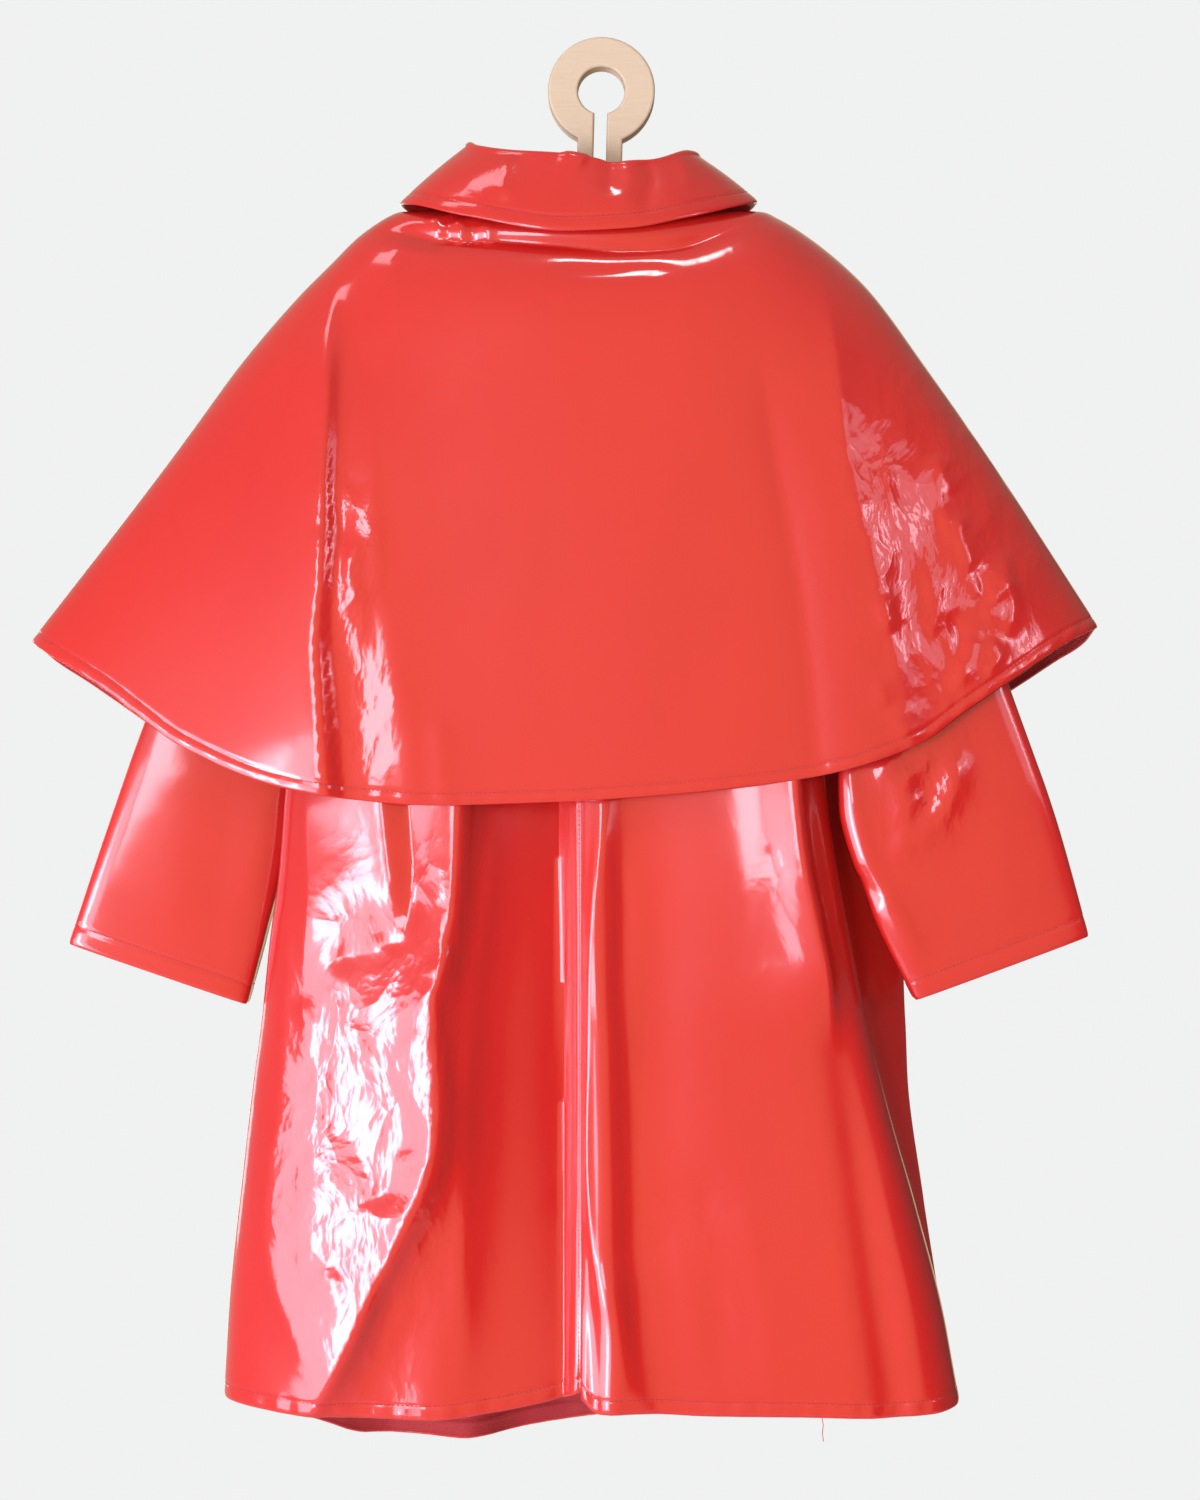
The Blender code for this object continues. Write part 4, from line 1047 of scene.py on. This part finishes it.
def sleeve(side):
    u, v = np.meshgrid(np.arange(SLEEVE_US) / SLEEVE_US, spaced(*SLEEVE_VS))
    points = sleeve_form(side)(u, v)
    x, z = points[..., 0], points[..., 2]
    cuff = run_from(points, "t")
    girth = np.linalg.norm(np.roll(points, -1, 1) - points, axis=2).sum(axis=1, keepdims=True)
    # The creases are full on the back, and weaker on the front
    share = np.where(np.sin(2 * math.pi * u) < 0.1, 1, FRONT_SHARE)
    height = crease_height(SLEEVE_CREASES[side], x, z) * share
    height += groove(cuff, CUFF_STITCH, *STITCH_GROOVE) + groove(cuff, 0, *EDGE_GROOVE)
    height += groove((u - 0.5) * girth, 0, *UNDERARM_GROOVE)
    creased = patch_strength(SLEEVE_PATCHES[side], x, z, SMOOTH_PANEL)
    _, piece, sewn = sewn_cloth(f"sleeve_{SIDES[side]}", points, -side, height, creased,
                                [("t", CUFF_WIDTH)], [("t", CUFF_STITCH)], closed=True)


sleeve(-1)
sleeve(1)


# Cape. Its back is one piece, fuller than the shoulders, which rolls over the neck seam and
# breaks into a crease below each end of the hanger. Two fronts join it along the shoulders.

Drop = namedtuple("Drop", "v y z")
CAPE_DROPS = {
    -1: [Drop(0, -27.9, -93), Drop(0.03, -34, -97.5), Drop(0.07, -40, -107),
         Drop(0.13, -44, -124), Drop(0.25, -47, -170), Drop(0.6, -51, -295),
         Drop(1, -53, -437.5)],
    1: [Drop(0, 27.9, -103), Drop(0.03, 34, -107), Drop(0.07, 40, -116),
        Drop(0.13, 44, -132), Drop(0.25, 46, -172), Drop(0.6, 48, -295),
        Drop(1, 50, -431)],
}
Ridge = namedtuple("Ridge", "v x z")
CAPE_RIDGES = {
    -1: [Ridge(0, -81.9, -84), Ridge(0.09, -121, -85.8), Ridge(0.105, -127, -88),
         Ridge(0.16, -145, -100.5), Ridge(0.22, -163, -118.5),
         Ridge(0.28, -181, -138), Ridge(0.64, -261, -241), Ridge(1, -341.4, -343)],
    1: [Ridge(0, 57.9, -84), Ridge(0.10, 96, -86), Ridge(0.13, 107, -91),
        Ridge(0.18, 125, -102.5), Ridge(0.23, 143, -117), Ridge(0.29, 161, -135),
        Ridge(0.40, 190, -174), Ridge(0.64, 233, -235.5), Ridge(1, 297, -334)],
}
CAPE_HEMS = {
    (-1, -1): [Edge(-341.4, -343), Edge(-330, -350), Edge(-311, -361), Edge(-294, -371.5),
               Edge(-271, -388.5), Edge(-248, -404.5), Edge(-189, -429), Edge(-150, -436),
               Edge(-100, -440), Edge(-12, -437.5)],
    (1, -1): [Edge(-12, -437.5), Edge(28, -434.5), Edge(57, -432), Edge(104, -426.5),
              Edge(133, -421.5), Edge(187, -403.5), Edge(212, -386), Edge(241, -366.5),
              Edge(279, -342), Edge(297, -334)],
    (-1, 1): [Edge(-341.4, -343), Edge(-330, -354), Edge(-311, -367), Edge(-271, -395.5),
              Edge(-248, -412.5), Edge(-189, -434), Edge(-110, -437), Edge(-12, -431)],
    (1, 1): [Edge(-12, -431), Edge(60, -430), Edge(120, -421), Edge(187, -404),
             Edge(216, -389.5), Edge(246, -373), Edge(274, -354.5), Edge(291, -343),
             Edge(297, -334)],
}
CAPE_FOLDS = [
    Fold(-1, -135, -172, -180, 60, 5),
    Fold(-1, -125, 122, 150, 30, 2.5),
    Fold(-1, -170, 176, 208, 30, -1.5),
    Fold(1, -135, -155, -170, 18, 5),
    Fold(1, -150, -80, -104, 20, -4),
    Fold(1, -135, 118, 142, 18, 4),
    Fold(1, -150, 60, 78, 20, -4),
]
CAPE_FULL_FROM = 0.2
LEFT_FULLNESS = 0.2
CAPE_PARTING_TOP = 4
CAPE_PARTING_HEM = 16
CAPE_STITCH = 6.3
CAPE_HEM_WIDTH = 8
CAPE_US = (-1.0, (-0.93, 10), (0.93, 210), (1.0, 10))
CAPE_FRONT_US = (0.0, (0.03, 12), (0.93, 62), (1.0, 10))
CAPE_VS = (0.0, (0.3, 44), (0.955, 84), (1.0, 18))
CAPE_PUCKER_RISE = 0.16
RIDGE_GROOVE = (1.6, 0.6)
SMOOTH_CAPE = 0.04
CAPE_FRONT_CREASED = 0.1


def cape_form(side, face):
    """u runs from the centre line (0) to the shoulder ridge (1), v from the neck to the hem."""
    drop, ridge = CAPE_DROPS[face], CAPE_RIDGES[side]
    drop_y, drop_z = by(drop, "v", "y"), by(drop, "v", "z")
    ridge_x, ridge_z = by(ridge, "v", "x"), by(ridge, "v", "z")
    hem = by(CAPE_HEMS[side, face], "x", "z")
    tip, hem_centre = ridge[-1], drop[-1].z

    def form(u, v):
        wrap = u * math.pi / 2
        s = np.sin(wrap)
        x = mix(NECK_X, ridge_x(v), s)
        fullness = LEFT_FULLNESS if side == face else FULLNESS
        full = 1 + fullness * s * s * ease(0, CAPE_FULL_FROM, v)
        y = drop_y(v) * np.cos(wrap) * full
        hem_share = (hem(mix(NECK_X, tip.x, s)) - hem_centre) / (tip.z - hem_centre)
        z = mix(drop_z(v), ridge_z(v), mix(s * s, hem_share, v))
        y = y + face * fold_height(CAPE_FOLDS, face, x, z, hem_centre) * (1 - s**EDGE_POWER)
        return np.stack([x, y, z], axis=-1)

    return form


CAPE_CREASES = [
    Crease(60, 6, 8, [(-157, -110), (-159, -159), (-160, -198), (-161, -244), (-161, -288),
           (-164, -344), (-161, -397), (-156, -496), (-152, -650)]),
    Crease(5, 16, -2.5, [(-153, -204), (-156, -250), (-157, -297), (-160, -344), (-157, -391),
           (-152, -438), (-144, -531)]),
    Crease(40, 60, 4.5, [(-137, -170), (-135, -230), (-132, -290), (-124, -344), (-115, -391),
           (-111, -438), (-104, -560)]),
    Crease(3, 6, 1.4, [(-151, -250), (-146, -285), (-149, -315), (-144, -350)]),
    Crease(5, 4, 1.3, [(-140, -280), (-147, -303), (-139, -332)]),
    Crease(4, 5, -1.2, [(-147, -265), (-150, -280), (-143, -297)]),
    Crease(5, 8, 0.9, [(-97, -385), (-94, -408), (-92, -435), (-88, -473)]),
    Crease(24, 14, 3, [(123, -107), (135, -163), (143, -233), (157, -297), (177, -379),
           (192, -467)]),
    Crease(14, 20, -2.5, [(92, -163), (101, -233), (116, -321), (125, -414), (127, -496)]),
    Crease(5, 8, 1.7, [(206, -267), (212, -285), (218, -304), (225, -322), (235, -339)]),
    Crease(8, 4, 1.8, [(234, -288), (240, -309), (242, -329), (236, -344)]),
    Crease(4, 4, -1.5, [(214, -297), (224, -312), (221, -328)]),
    Crease(4, 5, 1.5, [(226, -319), (234, -315), (240, -306)]),
    Crease(5, 4, 1.3, [(197, -274), (208, -273), (216, -278)]),
    Crease(4, 6, 1.6, [(218, -339), (213, -356), (207, -376)]),
    Crease(6, 4, 1.6, [(224, -344), (233, -353), (224, -367)]),
    Crease(4, 4, -1.3, [(202, -326), (211, -344), (205, -360)]),
    Crease(3, 6, 1.5, [(161, -318), (165, -328), (170, -339)]),
    Crease(3, 5, 1.3, [(160, -366), (162, -374), (165, -385)]),
    Crease(4, 5, 1.2, [(170, -382), (173, -392), (179, -405)]),
    Crease(5, 6, 1.3, [(197, -233), (201, -247), (209, -257)]),
    Crease(4, 5, 1.2, [(186, -297), (195, -321), (192, -344)]),
    Crease(16, 6, -8, [(-146, -106), (-121, -100), (-95, -104), (-66, -105), (-25, -109),
           (10, -112), (46, -109), (78, -98), (110, -90)]),
    Crease(3, 3, 1.3, [(-101, -90), (-98, -97), (-99, -105)]),
    Crease(3, 3, -1.4, [(-94, -91), (-91, -98), (-92, -106)]),
    Crease(3, 3, 1.5, [(-87, -92), (-84, -99), (-85, -108)]),
    Crease(3, 3, -1.4, [(-79, -93), (-77, -101), (-77, -109)]),
    Crease(3, 3, 1.3, [(-71, -94), (-68, -101), (-69, -109)]),
    Crease(2.5, 3, -0.9, [(-36, -126), (-1, -128), (22, -126), (51, -126)]),
    Crease(3, 3, 0.8, [(-127, -109), (-112, -113), (-92, -117)]),
]
CAPE_FRONT_CREASES = {
    -1: [Crease(14, 18, 3, [(-150, -160), (-170, -260), (-196, -380)]),
         Crease(11, 14, -2.5, [(-70, -200), (-84, -300), (-96, -420)])],
    1: [Crease(18, 14, 3, [(112, -160), (128, -250), (150, -380)]),
        Crease(12, 15, -2.5, [(52, -210), (62, -310), (58, -420)])],
}
CAPE_PATCHES = [Patch(-148, -290, 20, 60, 0.8), Patch(-140, -390, 26, 50, 0.5),
                Patch(205, -290, 60, 100, 1.0), Patch(165, -230, 40, 70, 0.4)]


def cape_back():
    u, v = np.meshgrid(spaced(*CAPE_US), spaced(*CAPE_VS))
    left, right = (cape_form(side, -1)(np.abs(u), v) for side in (-1, 1))
    points = np.where((u < 0)[..., None], left, right)
    x, z = points[..., 0], points[..., 2]
    hem = run_from(points, "t")
    height = crease_height(CAPE_CREASES, x, z)
    height += groove(hem, CAPE_STITCH, *FINE_STITCH_GROOVE) + groove(hem, 0, *EDGE_GROOVE)
    height += puckers(hem, x, CAPE_STITCH, CAPE_PUCKER_RISE)
    for ridge in "lr":
        height += groove(run_from(points, ridge), 0, *RIDGE_GROOVE)
    creased = patch_strength(CAPE_PATCHES, x, z, SMOOTH_CAPE)
    _, piece, sewn = sewn_cloth("cape_back", points, -1, height, creased,
                                [("t", CAPE_HEM_WIDTH)], [("t", CAPE_STITCH)])


def cape_front(side):
    u, v = np.meshgrid(spaced(*CAPE_FRONT_US), spaced(*CAPE_VS))
    points = cape_form(side, 1)(u, v)
    points[..., 0] += side * mix(CAPE_PARTING_TOP, CAPE_PARTING_HEM, v) / 2 * (1 - u) ** 2
    x, z = points[..., 0], points[..., 2]
    hem, edge, ridge = (run_from(points, place) for place in "tlr")
    height = crease_height(CAPE_FRONT_CREASES[side], x, z)
    height += puckers(hem, x, CAPE_STITCH, CAPE_PUCKER_RISE)
    for run, distance in ((hem, CAPE_STITCH), (edge, EDGE_STITCH)):
        height += groove(run, distance, *FINE_STITCH_GROOVE) + groove(run, 0, *EDGE_GROOVE)
    height += groove(ridge, 0, *RIDGE_GROOVE)
    creased = np.full_like(x, CAPE_FRONT_CREASED)
    _, piece, sewn = sewn_cloth(f"cape_front_{SIDES[side]}", points, side, height, creased,
                                [("t", CAPE_HEM_WIDTH), ("l", CAPE_HEM_WIDTH)],
                                [("t", CAPE_STITCH), ("l", EDGE_STITCH)])


cape_back()
cape_front(-1)
cape_front(1)


# Collar. A turned-down collar with its stand, glossy on both sides, whose leaf spreads over
# the cape's neck. Its edge is turned in and topstitched.

Leaf = namedtuple("Leaf", "turn fold edge")
COLLAR_RINGS = [
    Leaf(-170, -78, -136), Leaf(-155, -74, -117), Leaf(-140, -68, -101), Leaf(-125, -62, -90),
    Leaf(-110, -55, -83), Leaf(-90, -50.5, -79), Leaf(-68, -51, -83), Leaf(-37, -58.5, -94),
    Leaf(-16, -60.5, -101.5), Leaf(4, -57, -103.5), Leaf(37, -53.5, -93.5),
    Leaf(68, -48, -83), Leaf(90, -44, -80.5), Leaf(110, -50, -83), Leaf(125, -58, -90),
    Leaf(140, -67, -101), Leaf(155, -74, -117), Leaf(170, -78, -136),
]
Oval = namedtuple("Oval", "x half_width back front")
FOLD_OVAL = Oval(-11.5, 67.5, 31, 31)
EDGE_OVAL = Oval(-14, 107, 43.5, 53)
COLLAR_TURN = 2.8
COLLAR_BULGE = 0.8
COLLAR_LEAN = 0.6
COLLAR_END = math.radians(170)
COLLAR_FOOT_LIFT = 1.02
STAND_SHARE = 0.30
FOLD_SHARE = 0.52
COLLAR_STITCH = 8
COLLAR_TURNED = 10
COLLAR_CREASES = [
    Crease(5, 8, -1.5, [(4, -56), (5, -68), (2, -85)]),
    Crease(7, 6, -1.5, [(23, -56), (29, -68), (28, -80), (23, -98)]),
    Crease(6, 6, 0.8, [(14, -58), (16, -73), (12, -92)]),
    Crease(8, 10, 1.6, [(-25, -56), (-16, -61), (-10, -65)]),
    Crease(7, 4, 1.8, [(-57, -56), (-55, -70), (-60, -88)]),
    Crease(4, 5, 1.0, [(43, -56), (48, -64), (52, -79)]),
]
COLLAR_PATCHES = [Patch(-70, -75, 14, 16, 0.5)]
COLLAR_US = (0.0, (0.02, 8), (0.98, 170), (1.0, 8))
COLLAR_VS = (0.0, (STAND_SHARE, 8), (FOLD_SHARE, 12), (0.85, 14), (1.0, 14))
COLLAR_EDGE_GROOVE = (1.2, 0.3)
SMOOTH_COLLAR = 0.04


def collar_form(u, v):
    """u runs round the neck from front to front, v from the stand's foot over the fold to the
    leaf's outer edge."""
    turn = COLLAR_END * (2 * u - 1)
    degrees = np.degrees(turn)
    up = np.array([0.0, 0.0, 1.0])

    def oval(shape, z):
        depth = np.where(np.cos(turn) > 0, shape.back, shape.front)
        return np.stack([shape.x - shape.half_width * np.sin(turn), -depth * np.cos(turn), z], -1)

    side_z = np.where(turn > 0, SHOULDERS[-1][0].z, SHOULDERS[1][0].z)
    neck = Oval(NECK_X, NECK_HALF_WIDTH, NECK_HALF_DEPTH, NECK_HALF_DEPTH)
    foot = oval(neck, neck_height(turn, side_z) + COLLAR_FOOT_LIFT)
    fold = oval(FOLD_OVAL, by(COLLAR_RINGS, "turn", "fold")(degrees))
    edge = oval(EDGE_OVAL, by(COLLAR_RINGS, "turn", "edge")(degrees))
    away = unit(np.stack([-np.sin(turn) / FOLD_OVAL.half_width,
                          -np.cos(turn) / FOLD_OVAL.back, np.zeros_like(turn)], -1))
    centre = fold - up * COLLAR_TURN
    v = v[..., None]
    stand = mix(foot, centre - away * COLLAR_TURN, v / STAND_SHARE)
    angle = math.pi * (1 - (v - STAND_SHARE) / (FOLD_SHARE - STAND_SHARE))
    over = centre + (away * np.cos(angle) + up * np.sin(angle)) * COLLAR_TURN
    share = (v - FOLD_SHARE) / (1 - FOLD_SHARE)
    leaf = mix(centre + away * COLLAR_TURN, edge, share)
    leaf = leaf + (away + up * COLLAR_LEAN) * COLLAR_BULGE * np.sin(math.pi * share)
    return np.where(v < STAND_SHARE, stand, np.where(v < FOLD_SHARE, over, leaf))


def collar():
    points = collar_form(*np.meshgrid(spaced(*COLLAR_US), spaced(*COLLAR_VS)))
    x, y, z = (points[..., k] for k in range(3))
    edge = run_from(points, "t")
    height = crease_height(COLLAR_CREASES, x, z) * (y < 0)
    height += groove(edge, COLLAR_STITCH, *FINE_STITCH_GROOVE)
    height += groove(edge, 0, *COLLAR_EDGE_GROOVE)
    creased = patch_strength(COLLAR_PATCHES, x, z, SMOOTH_COLLAR)
    _, piece, sewn = sewn_cloth("collar", points, 1, height, creased,
                                [(place, COLLAR_TURNED) for place in "tlr"],
                                [("t", COLLAR_STITCH)], lined=False)


collar()


# Buttons. Five turned discs of glossy plastic with a raised rim and four holes, each sewn on
# through the left front and buttoned through a worked hole in the right.

BUTTON_HEIGHTS = (-160, -270, -380, -490, -600)
BUTTON_RADIUS = 10
BUTTON_SIDES = 40
BUTTON_THICKNESS = 3.2
BUTTON_ROUNDING = 0.45
BUTTON_RIM = 2.8
BUTTON_WELL = 0.8
WELL_SLOPE = 0.9
BUTTON_LIFT = 1.8
THREAD_HOLE = 1.0
THREAD_HOLE_SIDES = 16
THREAD_SPREAD = 1.9
THREAD_REACH = 1.4
THREAD_STITCH = 1.5
BUTTON_COLOUR = (0.60, 0.02, 0.016, 1)
BUTTON_DEEP = 0.7

# The worked hole runs from just past the button's middle in under its inner rim
BUTTONHOLE = (-3, 20)
BUTTONHOLE_HALF = 1
BUTTONHOLE_STEPS = 12
BUTTONHOLE_PITCH = 0.6
BUTTONHOLE_STITCH = 1.7
CENTRE_STEPS = 300


def button_plastic():
    made, tree, shader = new_material("button_gloss")
    coords = object_coords(tree)
    cloud = stretched_noise(tree, coords, (1, 1, 1), 140.0, 3.0)
    scuff = stretched_noise(tree, coords, (1, 1, 6), 500.0)
    deep = darker(BUTTON_COLOUR, BUTTON_DEEP)
    fill(tree, shader, {"Base Color": blended(tree, cloud, BUTTON_COLOUR, deep),
                        "Roughness": between(tree, scuff, 0.16, 0.34)})
    return made


def button(name, place, across, up, out):
    """A button at a place, with its face turned outwards."""
    bpy.ops.mesh.primitive_cylinder_add(vertices=BUTTON_SIDES, radius=BUTTON_RADIUS * MM,
                                        depth=BUTTON_THICKNESS * MM,
                                        location=(0, 0, BUTTON_THICKNESS / 2 * MM))
    made = bpy.context.object
    made.name = made.data.name = f"{name}_disc"
    choose(applied(made))
    bpy.ops.object.mode_set(mode="EDIT")
    bpy.ops.mesh.select_all(action="DESELECT")
    shape = bmesh.from_edit_mesh(made.data)
    for face in shape.faces:
        face.select = face.normal.z > 0.9
    bmesh.update_edit_mesh(made.data)
    bpy.ops.mesh.inset(thickness=BUTTON_RIM * MM)
    bpy.ops.mesh.inset(thickness=WELL_SLOPE * MM)
    bpy.ops.transform.translate(value=(0, 0, -BUTTON_WELL * MM))
    bpy.ops.object.mode_set(mode="OBJECT")
    for i in range(4):
        turn = math.pi / 4 + i * math.pi / 2
        bpy.ops.mesh.primitive_cylinder_add(
            vertices=THREAD_HOLE_SIDES, radius=THREAD_HOLE * MM, depth=4 * BUTTON_THICKNESS * MM,
            location=(THREAD_SPREAD * math.cos(turn) * MM, THREAD_SPREAD * math.sin(turn) * MM, 0))
        drill = bpy.context.object
        hole = made.modifiers.new("thread_hole", "BOOLEAN")
        hole.operation, hole.object = "DIFFERENCE", drill
        bpy.context.view_layer.objects.active = made
        bpy.ops.object.modifier_apply(modifier=hole.name)
        bpy.data.objects.remove(drill)
    rounding = made.modifiers.new("rounding", "BEVEL")
    rounding.width, rounding.segments, rounding.limit_method = BUTTON_ROUNDING * MM, 2, "ANGLE"
    bpy.ops.object.modifier_apply(modifier=rounding.name)
    smooth(made)
    points = np.array([vertex.co for vertex in made.data.vertices])
    points = place * MM + points @ np.stack([across, up, out])
    made.data.vertices.foreach_set("co", points.astype(np.float32).reshape(-1))
    made.data.update()
    made.data.materials.clear()
    made.data.materials.append(PLASTIC)
    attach(made, "root")
    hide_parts(name)


def on_front(line):
    """Puts the points of a line onto the right front's outer side."""
    grid = front_right.reshape(-1, 3)
    for spot in line:
        near = grid[np.argmin(np.hypot(grid[:, 0] - spot[0], grid[:, 2] - spot[2]))]
        spot[1] = near[1] + CLOTH / 2
    return line


PLASTIC = button_plastic()
centre_line = body_form(1, 1)(np.zeros(CENTRE_STEPS), np.linspace(0.02, 1, CENTRE_STEPS))
across = np.array([-1.0, 0.0, 0.0])
threads, buttonholes = [], []
for number, height in enumerate(BUTTON_HEIGHTS, 1):
    here, ahead = (row_at(z, centre_line[:, 2], centre_line) for z in (height, height + 2))
    up = unit(ahead - here)
    out = np.cross(across, up)
    button(f"button_{number}", here + out * BUTTON_LIFT, across, up, out)
    well = here + out * (BUTTON_LIFT + BUTTON_THICKNESS - BUTTON_WELL)
    for row in (-1, 1):
        span = across * THREAD_SPREAD * THREAD_REACH
        line = well + up * row * THREAD_SPREAD * THREAD_REACH / 2 + span * [[-1], [0], [1]]
        threads.append((line, np.tile(out, (3, 1))))
        along = np.linspace(*BUTTONHOLE, BUTTONHOLE_STEPS)[:, None]
        line = on_front(here - across * along + up * row * BUTTONHOLE_HALF)
        buttonholes.append((line, np.tile(out, (BUTTONHOLE_STEPS, 1))))
# One stitch to each pair of holes, with its middle halfway between them
stitching("button_threads", threads, pitch=THREAD_SPREAD * THREAD_REACH / 1.01,
          length=THREAD_SPREAD * THREAD_STITCH)
stitching("buttonholes", buttonholes, BUTTONHOLE_PITCH, BUTTONHOLE_STITCH, across_line=True)


# Studio. A pale floor far below, tall windows to the left, a dimmer one to the right, soft
# ones behind, and pale walls. The camera looks level at the coat's back from 1.8 m.

EYE = (-0.0012, -1.8, -0.4083)
VIEW_HEIGHT = 0.9
SENSOR = 36
FLOOR_Z = -1.9
FLOOR_RADIUS = 2.0
FLOOR_PALE = (0.80, 0.79, 0.77, 1)
FLOOR_DARK = (0.74, 0.73, 0.71, 1)

bpy.ops.mesh.primitive_circle_add(vertices=96, radius=FLOOR_RADIUS, fill_type="NGON",
                                  location=(0, 0, FLOOR_Z))
floor = bpy.context.object
floor.name = "floor"
applied(floor)
paint, tree, shader = new_material("pale_floor")
speckle = stretched_noise(tree, object_coords(tree), (1, 1, 1), 6.0, 4.0)
fill(tree, shader, {"Base Color": blended(tree, speckle, FLOOR_PALE, FLOOR_DARK),
                    "Roughness": 0.7})
floor.data.materials.append(paint)
floor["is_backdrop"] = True

# Each light is an upright pane: the direction it stands in, in degrees to the right of the
# camera, the heights of its foot and head, its width, its glow and its colour
Light = namedtuple("Light", "name azimuth foot head width glow colour")
PANE_DISTANCE = 3.2
LIGHTS = [
    Light("window", -40, -2.15, -0.29, 2.10, 6.8, (0.93, 0.80, 1.0)),
    Light("window_core", -34, -1.75, -0.36, 0.45, 16, (0.93, 0.84, 1.0)),
    Light("half_window", -16.5, -0.60, 0.50, 0.50, 12, (0.95, 0.84, 1.0)),
    Light("fanlight", -46, 2.80, 4.30, 1.10, 5, (0.98, 0.86, 0.98)),
    Light("far_window", 38, -0.05, 0.90, 0.90, 2, (0.97, 0.86, 1.0)),
    Light("far_core", 40, 0.10, 0.60, 0.20, 8, (0.97, 0.86, 1.0)),
    Light("window_behind", -130, -1.00, 0.60, 0.70, 3, (0.95, 0.92, 1.0)),
    Light("door_behind", -165, -1.40, 0.40, 0.90, 2.5, (1.0, 0.95, 0.90)),
]
SKYLIGHT = (0.07, -1.1, 1.5)
SKYLIGHT_SIZE = (0.16, 0.25)
SKYLIGHT_POWER = 3
SKYLIGHT_AIM = (0, 0, -0.2)
SKYLIGHT_COLOUR = (1.0, 0.93, 0.96)
BACKDROP = (0.875, 0.88, 0.88, 1)

# The walls' colours from the far left round to the far right, and the ceiling's
WALLS = [(0.0, (0.50, 0.48, 0.50)), (0.34, (0.58, 0.52, 0.36)), (0.60, (0.88, 0.78, 0.45)),
         (0.70, (0.70, 0.60, 0.38)), (0.78, (0.04, 0.03, 0.03)), (1.0, (0.22, 0.18, 0.18))]
CEILING = (0.56, 0.52, 0.44, 1)


def look(obj, place, aim):
    """Sets an object at a place, with its -Z axis turned towards an aim."""
    obj.location = place
    direction = np.array(aim, float) - np.array(place, float)
    flat = math.hypot(direction[0], direction[1])
    obj.rotation_euler = (math.atan2(flat, -direction[2]), 0,
                          math.atan2(-direction[0], direction[1]))


def lamp(name, place, aim, size, power, colour):
    made = bpy.data.lights.new(name, "AREA")
    made.shape, (made.size, made.size_y) = "RECTANGLE", size
    made.energy, made.color = power, colour
    holder = linked(name, made)
    holder.visible_camera = False
    look(holder, place, aim)


for light in LIGHTS:
    turn, middle = math.radians(light.azimuth), (light.foot + light.head) / 2
    size = (light.width, light.head - light.foot)
    lamp(light.name, (PANE_DISTANCE * math.sin(turn), -PANE_DISTANCE * math.cos(turn), middle),
         (0, 0, middle), size, light.glow * math.pi * size[0] * size[1], light.colour)
lamp("skylight", SKYLIGHT, SKYLIGHT_AIM, SKYLIGHT_SIZE, SKYLIGHT_POWER, SKYLIGHT_COLOUR)

world = bpy.data.worlds.new("studio")
bpy.context.scene.world = world
world.use_nodes = True
sky = world.node_tree
backdrop = sky.nodes["Background"]
backdrop.inputs["Color"].default_value = BACKDROP
# The walls are warm in front of the coat and dim to its right, and it is paler overhead
heading = add_node(sky, "ShaderNodeTexCoord").outputs["Generated"]
rightward = maths(sky, "ADD", product(sky, part_of(sky, heading, 0), 0.5), 0.5)
walls = add_node(sky, "ShaderNodeValToRGB", {0: rightward})
ramp = walls.color_ramp.elements
for place, _ in WALLS[1:-1]:
    ramp.new(place)
for stop, (_, shade) in zip(ramp, WALLS):
    stop.color = (*shade, 1)
overhead = add_node(sky, "ShaderNodeMapRange", {0: part_of(sky, heading, 2), 1: 0.22, 2: 0.7})
room = add_node(sky, "ShaderNodeBackground",
                {"Color": blended(sky, overhead.outputs[0], walls.outputs[0], CEILING)})
seen = add_node(sky, "ShaderNodeLightPath").outputs["Is Camera Ray"]
both = add_node(sky, "ShaderNodeMixShader", {0: seen, 1: room.outputs[0], 2: backdrop.outputs[0]})
sky.links.new(both.outputs[0], sky.nodes["World Output"].inputs["Surface"])

camera = linked("camera", bpy.data.cameras.new("camera"))
bpy.context.scene.camera = camera
camera.data.sensor_fit = "VERTICAL"
camera.data.sensor_height = SENSOR
camera.data.lens = SENSOR * abs(EYE[1]) / VIEW_HEIGHT
look(camera, EYE, (EYE[0], 0, EYE[2]))
bpy.context.scene.view_settings.view_transform = "Standard"

size = {"cad": cad_box, "visual": [list(corner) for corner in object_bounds()]}
